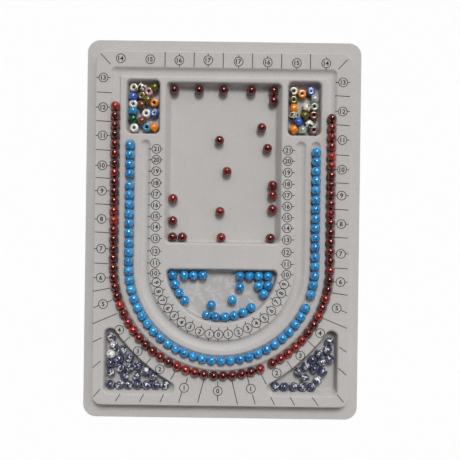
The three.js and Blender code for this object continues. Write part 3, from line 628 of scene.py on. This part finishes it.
class Print:
    """Ink on the raised top: one thin skin of strokes, rings and numbers."""

    UNDER, OVER = -0.04, 0.03  # how far the ink reaches into the flock and over it
    LOW, HIGH = BOARD_HEIGHT + UNDER, BOARD_HEIGHT + OVER
    STEP = 0.5  # along a line that follows the top
    LINE = 0.33  # half of a line's width
    BOLD = 0.15
    RING = 3.8
    RING_STEPS = 40
    NUMBER_SIZE = 5.4
    NUMBER_STEPS = 3
    WELD = 0.002

    def __init__(self):
        self.vertices = []
        self.faces = []
        self.shapes = {}

    def add(self, vertices, faces):
        base = len(self.vertices)
        self.vertices += vertices
        self.faces += [tuple(base + i for i in face) for face in faces]

    def stroke(self, start, end):
        """A line that follows the top down into the rims of the channels."""
        start, end = Vector(start), Vector(end)
        aside = (end - start).normalized().orthogonal() * self.LINE
        steps = math.ceil((end - start).length / self.STEP)
        corners = []
        for i in range(steps + 1):
            middle = start.lerp(end, i / steps)
            left, right = middle - aside, middle + aside
            section = [(left, self.UNDER), (right, self.UNDER), (right, self.OVER), (left, self.OVER)]
            for point, lift in section:
                corners.append((point.x, point.y, top_height(point.x, point.y) + lift))
        last = 4 * steps
        ends = [(3, 2, 1, 0), (last, last + 1, last + 2, last + 3)]
        self.add(corners, ends + bands(0, last, 4))

    def ring(self, x, y):
        steps, outer, inner = self.RING_STEPS, self.RING + self.LINE, self.RING - self.LINE
        loops = [(outer, self.LOW), (outer, self.HIGH), (inner, self.HIGH), (inner, self.LOW)]
        points = []
        for radius, z in loops:
            points += circle(x, y, radius, z, steps)
        faces = []
        for loop in range(4):
            faces += band(loop * steps, (loop + 1) % 4 * steps, steps)
        self.add(points, faces)

    def shape_of(self, text):
        if text not in self.shapes:
            curve = bpy.data.curves.new("number", "FONT")
            curve.body = text
            curve.size = self.NUMBER_SIZE
            curve.extrude = (self.HIGH - self.LOW) / 2
            curve.offset = self.BOLD
            curve.resolution_u = self.NUMBER_STEPS
            number = in_scene("number", curve)
            settled = number.evaluated_get(bpy.context.evaluated_depsgraph_get())
            mesh = bpy.data.meshes.new_from_object(settled)
            points = [v.co.copy() for v in mesh.vertices]
            faces = [tuple(face.vertices) for face in mesh.polygons]
            low = Vector([min(p[i] for p in points) for i in range(3)])
            high = Vector([max(p[i] for p in points) for i in range(3)])
            self.shapes[text] = ([p - (low + high) / 2 for p in points], faces)
            bpy.data.objects.remove(number)
            bpy.data.meshes.remove(mesh)
        return self.shapes[text]

    def number(self, text, x, y, turn=0.0):
        points, faces = self.shape_of(str(text))
        placed = Matrix.Translation((x, y, (self.LOW + self.HIGH) / 2)) @ Matrix.Rotation(turn, 4, "Z")
        self.add([tuple(placed @ p) for p in points], faces)

    def mark(self, text, x, y, ticks=None, turn=0.0):
        """A ringed number, with ticks out of both sides of its ring."""
        self.ring(x, y)
        self.number(text, x, y, turn)
        if ticks:
            degrees, *lengths = ticks
            for way, length in zip((degrees, degrees + 180), lengths):
                self.stroke(polar(x, y, self.RING, way), polar(x, y, self.RING + length, way))

    def piece(self):
        printed = piece_of("printed_scale", self.vertices, self.faces)
        body = bmesh.new()
        body.from_mesh(printed.data)
        bmesh.ops.remove_doubles(body, verts=body.verts, dist=self.WELD * MM)
        bmesh.ops.recalc_face_normals(body, faces=body.faces)
        body.to_mesh(printed.data)
        body.free()
        return printed


TOP_SCALE, TOP_SHIFT_X, TOP_SHIFT_Y = 0.9808, -0.54, -1.54


def on_top(x, y):
    """Print places are given in the plane of the table. On the raised top they lie closer together."""
    return (TOP_SCALE * x + TOP_SHIFT_X, TOP_SCALE * y + TOP_SHIFT_Y)


# Ticks beside a ring: the direction of the first in degrees, and the lengths of both.
SIDE_TICKS, BACK_TICKS, ZERO_TICKS = (0, 2.4, 2.4), (90, 2.0, 2.0), (90, 5.0, 5.0)
INNER_LEFT_TICKS, INNER_RIGHT_TICKS = (0, 1.8, 3.2), (0, 2.4, 1.2)
BEND_TICKS = (2.4, 2.4)
OUTER_LEFT_X, OUTER_RIGHT_X = -105.3, 104.8
INNER_LEFT_X, INNER_RIGHT_X, INNER_RIGHT_LIFT = -58, 57.3, 0.3
ZERO_PLACE = (-1.5, -140.5)
DIVIDER_START, DIVIDER_END, DIVIDER_SLOPE = 98, 111, 0.3
BACK_DIVIDER_START, BACK_DIVIDER_END = 156, 143
OUTER_LEFT = [133, 107, 82.2, 56, 33.7, 9, -17, -42.5]  # from 13 down to 6
OUTER_RIGHT = [131.5, 106, 81, 55, 32.3, 7.3, -18.7, -43.5]
OUTER_BEND = [
    (5, -103, -65.5), (4, -88.5, -88), (3, -72, -106.5), (2, -52.5, -122), (1, -31, -138),
    (5, 101.8, -66.5), (4, 87.5, -88.5), (3, 70.5, -108.5), (2, 50, -124), (1, 27.5, -138),
]
OUTER_BACK = [
    (14, -90.3, 150), (15, -64.5, 149.5), (16, -39, 149), (17, -13.7, 149.3),
    (17, 13, 148.5), (16, 38.5, 148.2), (15, 64, 148), (14, 89.8, 148),
]
INNER_SIDE = [71, 61.5, 51.5, 41.3, 31.5, 21.8, 12, 2.7, -7.5, -18.5, -29, -38]  # from 21 down to 10
INNER_BEND = [
    (9, -56.5, -46), (8, -54.5, -54), (7, -51, -61.5), (6, -46, -68.5), (5, -40.5, -75),
    (4, -34, -80.5), (3, -26.5, -84.5), (2, -18, -88.5), (1, -9.5, -90.5), (0, -1.5, -91),
    (1, 7, -90.5), (2, 16, -88.5), (3, 24, -85), (4, 31.5, -80.5), (5, 38.5, -76),
    (6, 44.5, -69.5), (7, 49, -61.5), (8, 53, -54), (9, 55.5, -46.2),
]
LEFT_DIVIDERS = [120, 94.8, 69.5, 45, 22, -2.7, -30]
RIGHT_DIVIDERS = [119.5, 94, 67.7, 43.2, 20, -4.6, -31.5]
BACK_DIVIDERS = [-77.5, -51.5, -26, -0.5, 25.2, 50.7, 76]
# Each line's start and end: x, y, x and y.
SLANTED_LINES = [
    (-112, -54.5, -97, -51.5), (-112, -83, -90, -73.5), (97, -53, 111, -55), (90, -75.5, 111, -84),
    (-108, 154, -97, 142.5), (98.5, 141, 108.5, 151.5), (-110.5, -147, -104.5, -140),
    (103, -142, 109, -149), (-85, -99, -79, -94), (-65, -118, -60.5, -112.5), (-43, -131, -39, -124),
    (-19, -151, -13.5, -130), (10.5, -130, 16, -152), (36, -124.5, 41, -134), (58.5, -113, 63.5, -120),
    (76.5, -95, 83.5, -101.5), (-111.5, -99, -104, -95), (-111.5, -121.5, -104.5, -115.5),
    (-91, -150.5, -87, -144), (-70, -151, -66.5, -144), (-52, -151, -49, -144), (45, -145, 48.5, -152),
    (62, -145, 66, -152), (81.5, -145, 87, -152.5), (104, -119, 111, -125), (104.5, -100.5, 111, -105),
    (-111.5, -69, -107, -67), (-100, -64, -95, -62), (106, -68.5, 111, -70.5), (-35.5, -151, -33, -142),
    (-29.5, -134, -28, -129), (24, -127, 26, -134), (29, -143, 31.5, -151.5),
]


def printed_scale():
    ink = Print()
    for number, left, right in zip(range(13, 5, -1), OUTER_LEFT, OUTER_RIGHT):
        ink.mark(number, *on_top(OUTER_LEFT_X, left), SIDE_TICKS)
        ink.mark(number, *on_top(OUTER_RIGHT_X, right), SIDE_TICKS)
    for number, x, y in OUTER_BEND:
        ink.mark(number, *on_top(x, y))
    ink.mark(0, *on_top(*ZERO_PLACE), ZERO_TICKS)
    for number, x, y in OUTER_BACK:
        ink.mark(number, *on_top(x, y), BACK_TICKS)
    for number, y in zip(range(21, 9, -1), INNER_SIDE):
        ink.mark(number, *on_top(INNER_LEFT_X, y), INNER_LEFT_TICKS)
        ink.mark(number, *on_top(INNER_RIGHT_X, y + INNER_RIGHT_LIFT), INNER_RIGHT_TICKS)
    for number, x, y in INNER_BEND:
        x, y = on_top(x, y)
        outwards = math.degrees(math.atan2(y - BEND_Y, x))
        ink.mark(number, x, y, (outwards, *BEND_TICKS), math.radians(outwards + 90))
    for left, right in zip(LEFT_DIVIDERS, RIGHT_DIVIDERS):
        ink.stroke(on_top(-DIVIDER_END, left + DIVIDER_SLOPE), on_top(-DIVIDER_START, left - DIVIDER_SLOPE))
        ink.stroke(on_top(DIVIDER_START, right + DIVIDER_SLOPE), on_top(DIVIDER_END, right - DIVIDER_SLOPE))
    for x in BACK_DIVIDERS:
        ink.stroke(on_top(x, BACK_DIVIDER_START), on_top(x, BACK_DIVIDER_END))
    for *start, x, y in SLANTED_LINES:
        ink.stroke(on_top(*start), on_top(x, y))
    return ink.piece()


# Beads.

def round_profile(radius):
    """A drilled ball, as a closed loop: outwards from the hole and along it."""
    start = math.asin(BEAD_HOLE / radius)
    turns = [start + (math.pi - 2 * start) * i / BALL_STEPS for i in range(BALL_STEPS + 1)]
    ends = [(BEAD_HOLE, -HOLE_END * radius), (BEAD_HOLE, HOLE_END * radius)]
    return [(radius * math.sin(t), radius * math.cos(t)) for t in turns] + ends


def pony_profile():
    """A short barrel with flat ends and a wide hole, whose edges are rounded."""
    bulge = PONY_RADIUS - PONY_END_RADIUS
    turns = [math.pi * i / BARREL_STEPS for i in range(BARREL_STEPS + 1)]
    side = [(PONY_END_RADIUS + bulge * math.sin(t), PONY_HALF_LENGTH * math.cos(t)) for t in turns]
    lips = [(PONY_LIP, 0.0), (PONY_LIP_CORNER, PONY_LIP_CORNER), (0.0, PONY_LIP)]
    near = [(PONY_HOLE + out, -PONY_HALF_LENGTH + along) for out, along in lips]
    return side + near + [(out, -along) for out, along in reversed(near)]


def turned(profile):
    """The points and faces of a bead turned from its profile, with the hole along Z."""
    points = []
    for out, along in profile:
        points += [Vector(point) for point in circle(0, 0, out, along, BEAD_SIDES)]
    faces = []
    for row in range(len(profile)):
        faces += band(row * BEAD_SIDES, (row + 1) % len(profile) * BEAD_SIDES, BEAD_SIDES)
    return points, faces


LOOSE_BEAD = turned(round_profile(BEAD_RADIUS))
HEAPED_BEAD = turned(round_profile(HEAPED_RADIUS))
PONY = turned(pony_profile())
UP = Vector((0, 0, 1))


def lying(heading):
    """Turns a bead so that its hole lies along the heading, in radians."""
    ahead = Vector((math.cos(heading), math.sin(heading), 0))
    return UP.rotation_difference(ahead).to_matrix().to_4x4()


def spun():
    """Any turn about the hole."""
    return Matrix.Rotation(chance.uniform(0, 2 * math.pi), 4, "Z")


def rolled():
    """Any turn at all, for a bead that has rolled into place."""
    return Euler([chance.uniform(0, 2 * math.pi) for _ in range(3)]).to_matrix().to_4x4()


def carry(mesh, name, kind, values):
    """Gives each point of the mesh a number or a vector, which a finish reads under this name."""
    layer = mesh.attributes.new(name, kind, "POINT")
    layer.data.foreach_set("value" if kind == "FLOAT" else "vector", values)


def bead_piece(name, shape, beads, finishes):
    """Beads of one CAD node. Each has a place, a turn, a tone and the number of its finish."""
    points, faces = shape
    vertices, all_faces, grain, on_bead, tones, kinds = [], [], [], [], [], []
    for place, turn, tone, kind in beads:
        base = len(vertices)
        stone = Vector([chance.uniform(0, STONE_BLOCK) for _ in range(3)])
        vertices += [turn @ p + Vector(place) for p in points]
        grain += [p + stone for p in points]
        on_bead += points
        tones += [tone] * len(points)
        all_faces += [tuple(base + i for i in face) for face in faces]
        kinds += [kind] * len(faces)
    piece = piece_of(name, vertices, all_faces)
    mesh = piece.data
    carry(mesh, "grain", "FLOAT_VECTOR", [part for point in grain for part in point])
    carry(mesh, "on_bead", "FLOAT_VECTOR", [part for point in on_bead for part in point])
    carry(mesh, "tone", "FLOAT", tones)
    for finish in finishes:
        mesh.materials.append(finish)
    mesh.polygons.foreach_set("material_index", kinds)
    mesh.shade_smooth()
    mesh.set_sharp_from_angle(angle=math.radians(BEAD_CREASE))
    return piece


BODIES = frame["record"]["behaviour"]["bodies"]
BODY_OF = {node: body for body, nodes in BODIES.items() for node in nodes}


def stands_for(piece, node):
    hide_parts(node)
    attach(piece, BODY_OF[node])


def runs_between(start, end, runs):
    beads = math.floor((end - start - (runs - 1) * LOOSE_GAP) / PITCH) + 1
    for i in range(runs):
        before = round(i * beads / runs)
        yield start + before * PITCH + i * LOOSE_GAP, round((i + 1) * beads / runs) - before


def string_row(colour, half_width, stretches, finish):
    number = 0
    for stretch in stretches:
        for first, count in runs_between(*stretch):
            number += 1
            beads = []
            for i in range(count):
                x, y, heading = along_channel(half_width, first + i * PITCH)
                beads.append(((x, y, ROW_HEIGHT), lying(heading) @ spun(), chance.random(), 0))
            piece = bead_piece(f"{colour}_row_{number}", LOOSE_BEAD, beads, [finish])
            stands_for(piece, f"{colour}_run_{number}")


def loose_beads(name, node, spots, headings, finish):
    beads = []
    for (x, y), heading in zip(spots, headings):
        beads.append(((x, y, TRAY_HEIGHT), lying(heading) @ spun(), chance.random(), 0))
    stands_for(bead_piece(name, LOOSE_BEAD, beads, [finish]), node)


SIDE_WALL, BACK_WALL, FRONT_WALL = 43.05, 120.55, -7.05  # where a bead leans on the centre tray's walls
BESIDE = 8.5  # between beads that lie side by side


def in_centre_tray(across, along, beside=(0, 0)):
    """A place by its shares of the tray's half width and length, and by whole beads beside it."""
    x = across * SIDE_WALL + beside[0] * BESIDE
    return (x, FRONT_WALL + along * (BACK_WALL - FRONT_WALL) + beside[1] * BESIDE)


CENTRE_BEADS = [
    (-1, 1), (-0.5, 1), (-0.01, 1), (0.55, 1), (1, 1), (1, 1, (0, -1)), (0.77, 0.75),
    (-0.08, 0.66), (0.89, 0.61), (0.08, 0.45), (1, 0.36), (1, 0.36, (0, -1)), (1, 0.36, (0, -2.45)),
    (-0.05, 0.177), (-1, 0.26), (-1, 0.11), (-1, 0), (-1, 0, (1, 0)), (-0.02, 0), (0.97, 0),
]
HEADING_STEP = math.radians(47)

ROUND_WALL, STRAIGHT_WALL = 43.05, -40.15  # where a bead leans on the half-round tray's walls
BEAD_TURN = math.degrees(2 * math.asin(PITCH / 2 / ROUND_WALL))
ARC_START = 180 - math.degrees(math.asin((STRAIGHT_WALL - BEND_Y) / ROUND_WALL))
CLUSTER_Y = STRAIGHT_WALL - PITCH
CLUSTER_X = math.sqrt(ROUND_WALL ** 2 - (CLUSTER_Y - BEND_Y) ** 2)
THIRD_TURN = math.degrees(math.asin((CLUSTER_Y - BEND_Y) / ROUND_WALL)) - BEAD_TURN


def on_round_wall(degrees, inwards=0.0):
    return polar(0, BEND_Y, ROUND_WALL - inwards, degrees)


ROW_START = on_round_wall(ARC_START)[0] + 9.84  # past the first bead of the arc
CLUSTER_SAG = 0.4  # from bead to bead of the cluster's second row
NEAR_ARC_START = 270 - 1.57 * BEAD_TURN  # in beads from the nearest point of the wall
HALF_ROUND_GROUPS = {
    "blue_left_arc": [on_round_wall(ARC_START + i * BEAD_TURN) for i in range(3)],
    "blue_left_row": [(ROW_START + i * PITCH, STRAIGHT_WALL) for i in range(3)],
    "blue_right_cluster": [(CLUSTER_X - i * PITCH, STRAIGHT_WALL) for i in range(4)]
    + [(CLUSTER_X - i * PITCH, CLUSTER_Y - i * CLUSTER_SAG) for i in range(2)]
    + [on_round_wall(THIRD_TURN)],
    "blue_near_arc": [on_round_wall(NEAR_ARC_START + i * BEAD_TURN) for i in range(6)],
}
HALF_ROUND_SINGLES = {
    "blue_bead_left": on_round_wall(ARC_START + 2 * BEAD_TURN + BEAD_TURN * BESIDE / PITCH),
    "blue_bead_far": (15.93, -49.99),
    "blue_bead_middle": on_round_wall(-71.3, 13.45),
    "blue_bead_near": on_round_wall(-105, 9.43),
}

LEFT_HEAP = [
    (-95.25, -135.74), (-87.38, -135.74), (-79.51, -135.74), (-71.64, -135.74), (-63.77, -135.74),
    (-55.9, -135.74), (-48.03, -135.74), (-72.87, -127.97), (-58.72, -128.39), (-65.17, -123.88),
    (-71.46, -119.14), (-79.18, -120.64), (-79.04, -112.77), (-87.04, -121.05), (-87.45, -113.2),
    (-85.55, -105.56), (-83.22, -127.94), (-92.56, -101.99), (-95.12, -94.55), (-95.25, -109.38),
    (-95.25, -117.25), (-95.25, -125.12),
]
WHITE_ONE, WHITE_TONE = 19, 1.6  # the bead of the left heap that is white nearly all over
HEAP_TONES = (0.0, 0.6)
RIGHT_HEAP = [
    (79.26, -135.74), (71.39, -135.74), (63.52, -135.74), (55.65, -135.74), (47.78, -135.74),
    (84.43, -129.8), (73.43, -128.14), (67.96, -122.48), (74.08, -117.52), (79.74, -112.06),
    (87.27, -114.36), (94.51, -111.28), (81.56, -119.96), (88.96, -122.65), (85.4, -106.59),
    (92.65, -103.51), (94.28, -95.82),
]

CREAM, WHITE, GREY = (0.80, 0.75, 0.60), (0.84, 0.83, 0.78), (0.42, 0.43, 0.42)
ORANGE, PINK, BROWN = (0.90, 0.27, 0.01), (0.62, 0.36, 0.36), (0.20, 0.055, 0.04)
BLACK, OLIVE, STRAW = (0.012, 0.011, 0.01), (0.13, 0.11, 0.012), (0.36, 0.33, 0.12)
COBALT, SKY, TEAL = (0.05, 0.13, 0.52), (0.03, 0.28, 0.52), (0.06, 0.29, 0.46)
GREEN, DEEP_GREEN, PALE_GREEN = (0.008, 0.13, 0.06), (0.003, 0.03, 0.02), (0.40, 0.47, 0.36)
MAUVE = (0.24, 0.13, 0.14)
GLAZES = {
    "cream_spotted": (CREAM, BLACK, "spots"), "cream_patched": (CREAM, BLACK, "patches"),
    "pink": (PINK,), "olive": (OLIVE,), "olive_ringed": (OLIVE, STRAW, "ring"),
    "cobalt": (COBALT,), "cobalt_ringed": (COBALT, WHITE, "ring"), "orange": (ORANGE,),
    "white": (WHITE,), "white_patched": (WHITE, BLACK, "patches"), "brown_red": (BROWN,),
    "sky": (SKY,), "teal": (TEAL,), "green_striped": (GREEN, DEEP_GREEN, "stripes"),
    "grey": (GREY,), "pale_green": (PALE_GREEN,), "mauve": (MAUVE,),
}

# Short beads: place, the heading of the hole of one that lies on its side or None, and its glass.
LEFT_PONIES = [
    (-78.16, 121.97, None, "cream_spotted"), (-71.2, 122.29, 60, "cream_patched"),
    (-65.36, 118.69, None, "pink"), (-60.51, 122.29, 20, "olive"), (-71.44, 114.93, None, "olive_ringed"),
    (-78.69, 113.89, 80, "cobalt"), (-66.24, 111.33, 30, "olive"), (-60.51, 108.93, None, "orange"),
    (-78.56, 107.73, None, "white"), (-71.52, 107.09, 0, "brown_red"), (-78.69, 101.49, 80, "sky"),
    (-78.69, 94.53, 40, "green_striped"), (-71.12, 92.93, 45, "brown_red"), (-67.2, 99.73, None, "white"),
    (-60.51, 100.29, None, "cobalt_ringed"), (-77.6, 87.09, None, "white"), (-66.56, 87.73, None, "teal"),
    (-60.51, 87.33, 60, "orange"),
]
RIGHT_PONIES = [
    (60.51, 120.69, None, "cream_patched"), (67.68, 118.29, None, "orange"),
    (75.2, 120.69, None, "cobalt_ringed"), (60.51, 113.01, None, "olive_ringed"),
    (78.69, 114.13, 0, "grey"), (60.8, 105.73, 0, "orange"), (78.48, 107.33, None, "pale_green"),
    (71.44, 106.53, 70, "cream_spotted"), (60.64, 99.33, 60, "cream_patched"), (70.16, 99.49, 45, "olive"),
    (78, 99.73, None, "brown_red"), (64.8, 93.89, 20, "cobalt"), (60.8, 87.33, 30, "orange"),
    (68.4, 86.71, 90, "pale_green"), (73.92, 91.89, 130, "white_patched"), (78.16, 87.09, None, "mauve"),
]


def stone_heap(node, spots, white, finish):
    beads = []
    for i, (x, y) in enumerate(spots):
        tone = WHITE_TONE if i == white else chance.uniform(*HEAP_TONES)
        beads.append(((x, y, TRAY_HEIGHT), rolled(), tone, 0))
    stands_for(bead_piece(node + "_stones", HEAPED_BEAD, beads, [finish]), node)


def pony_heap(node, ponies, glazes):
    names = sorted({glass for *_, glass in ponies})
    beads = []
    for x, y, heading, glass in ponies:
        turn, height = spun(), STANDING_HEIGHT
        if heading is not None:
            turn, height = lying(math.radians(heading)) @ turn, LYING_HEIGHT
        beads.append(((x, y, height), turn, chance.random(), names.index(glass)))
    piece = bead_piece(node + "_glass", PONY, beads, [glazes[name] for name in names])
    stands_for(piece, node)


# The making.

board = pressed_sheet()
board.data.materials.clear()
board.data.materials.append(grey_flock())
stands_for(board, "board_shell")

scale = printed_scale()
scale.data.materials.append(scale_ink())
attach(scale, "board")

RED, BLUE, VEINED = red_stone(), blue_stone(), veined_stone()
RED_LEFT_Y, RED_RIGHT_Y, RED_BEFORE_GAP, RED_AFTER_GAP = 104, 96, 36, 46.5
BLUE_END_Y, BLUE_FIRST_GAP, BLUE_BEFORE_GAP, BLUE_AFTER_GAP = 70.6, 1.9, 92, 103
HAIR = 0.001  # so that rounding drops no bead
# Stretches of a row: where the first and the last bead may lie along the channel, and the number of runs.
red_stretches = [
    (-distance_on_leg(OUTER_CHANNEL, RED_LEFT_Y), RED_BEFORE_GAP, 7),
    (RED_AFTER_GAP, distance_on_leg(OUTER_CHANNEL, RED_RIGHT_Y), 5),
]
string_row("red", OUTER_CHANNEL, red_stretches, RED)
blue_end = distance_on_leg(MIDDLE_CHANNEL, BLUE_END_Y)
blue_stretches = [
    (-blue_end, 3 * PITCH - blue_end + HAIR, 1),
    (4 * PITCH + BLUE_FIRST_GAP - blue_end, BLUE_BEFORE_GAP, 6),
    (BLUE_AFTER_GAP, blue_end, 3),
]
string_row("blue", MIDDLE_CHANNEL, blue_stretches, BLUE)

for i, shares in enumerate(CENTRE_BEADS):
    node, spot = f"red_bead_{i + 1}", in_centre_tray(*shares)
    loose_beads(f"red_loose_{i + 1}", node, [spot], [math.pi / 2 + i * HEADING_STEP], RED)
for node, spots in HALF_ROUND_GROUPS.items():
    headings = [chance.uniform(0, math.pi) for _ in spots]
    loose_beads(node + "_stones", node, spots, headings, BLUE)
for i, (node, spot) in enumerate(HALF_ROUND_SINGLES.items()):
    loose_beads(node + "_stone", node, [spot], [math.pi / 2 + i * HEADING_STEP], BLUE)

stone_heap("left_corner_heap", LEFT_HEAP, WHITE_ONE, VEINED)
stone_heap("right_corner_heap", RIGHT_HEAP, None, VEINED)
glazes = {name: glaze(name, *look) for name, look in GLAZES.items()}
pony_heap("left_compartment_heap", LEFT_PONIES, glazes)
pony_heap("right_compartment_heap", RIGHT_PONIES, glazes)


# The studio.

FLOOR_GLOW = 0.88  # the share of the floor's white that is the same in light and shadow


def white_floor():
    finish = Finish("white_floor", {"Roughness": 0.9, "Base Color": rgb(0.86, 0.86, 0.86)})
    rays = ("Is Camera Ray", "Is Glossy Ray", "Is Transmission Ray")
    direct, mirrored, through = [finish.add("ShaderNodeLightPath", {}, {}, ray) for ray in rays]
    seen = direct + mirrored + through
    glow = finish.add("ShaderNodeEmission", {}, {"Color": rgb(1, 1, 1), "Strength": 1.0})
    out = finish.tree.nodes["Material Output"]
    lit = Value(finish, finish.shader.outputs["BSDF"])
    mixed = finish.add("ShaderNodeMixShader", {}, {0: seen * FLOOR_GLOW, 1: lit, 2: glow})
    finish.feed(out.inputs["Surface"], mixed)
    return finish.material


FLOOR_RADIUS, COVE, COVE_TURNS = 3000, 400, (0.4, 0.8, 1.2, 1.57)
WALL_RADIUS, LOW_WALL, HIGH_WALL = FLOOR_RADIUS + COVE, 900, 2400
FLOOR_LEVEL = -0.1
STAGE_STEPS = 72


def round_stage(name, rings, floored):
    """A skin over rings of radius and height about the board, with a floor inside the first ring or open."""
    points = []
    for radius, z in rings:
        points += circle(0, 0, radius, z, STAGE_STEPS)
    faces = [tuple(range(STAGE_STEPS))] if floored else []
    return piece_of(name, points, faces + bands(0, len(points) - STAGE_STEPS, STAGE_STEPS))


# The floor turns up into a low backdrop. The backdrop's upper part is there for low views and takes no
# part in the light.
cove = [(FLOOR_RADIUS + COVE * math.sin(t), COVE - COVE * math.cos(t)) for t in COVE_TURNS]
floor = round_stage("studio_floor", [(FLOOR_RADIUS, FLOOR_LEVEL)] + cove + [(WALL_RADIUS, LOW_WALL)], True)
backdrop = round_stage("upper_backdrop", [(WALL_RADIUS, LOW_WALL), (WALL_RADIUS, HIGH_WALL)], False)
backdrop.visible_diffuse = backdrop.visible_glossy = False
backdrop.visible_transmission = backdrop.visible_shadow = False
paint = white_floor()
for stage in (floor, backdrop):
    stage.data.materials.append(paint)

SKY_STRENGTH = 0.04
world = bpy.data.worlds.new("studio")
world.use_nodes = True
sky = world.node_tree.nodes["Background"]
sky.inputs["Color"].default_value = rgb(1.0, 1.0, 1.0)
sky.inputs["Strength"].default_value = SKY_STRENGTH
bpy.context.scene.world = world


def soft_lamp(name, share, width, back, right, shines=True):
    """A wide lamp far away, tilted from straight above towards the back and the right of the board, in
    degrees. Its share is of the light on the flat top. Only a lamp that shines is mirrored in the beads."""
    lamp = bpy.data.lights.new(name, "SUN")
    lamp.angle = math.radians(width)
    lamp.energy = share * math.pi / (math.cos(math.radians(back)) * math.cos(math.radians(right)))
    sun = in_scene(name, lamp)
    sun.rotation_euler = (-math.radians(back), math.radians(right), 0)
    sun.visible_glossy = shines


soft_lamp("bright_panel", share=0.55, width=20, back=31, right=6)
soft_lamp("back_right_fill", share=0.16, width=80, back=38, right=38, shines=False)
soft_lamp("back_left_fill", share=0.12, width=80, back=38, right=-38, shines=False)
soft_lamp("right_fill", share=0.15, width=80, back=0, right=48, shines=False)

FRAME, FOCAL = 460.0, 593.3  # pixels
SENSOR = 36.0
CAMERA_SHIFT = 0.08
CAMERA_PLACE, CAMERA_ROLL = Vector((7.14, -32.35, 521.0)), 0.77
camera = bpy.data.cameras.new("camera")
camera.sensor_width = SENSOR
camera.lens = FOCAL / FRAME * SENSOR
camera.shift_y = CAMERA_SHIFT
camera_object = in_scene("camera", camera)
camera_object.location = CAMERA_PLACE * MM
camera_object.rotation_euler = (0, 0, math.radians(CAMERA_ROLL))
bpy.context.scene.camera = camera_object
bpy.context.scene.view_settings.view_transform = "Standard"
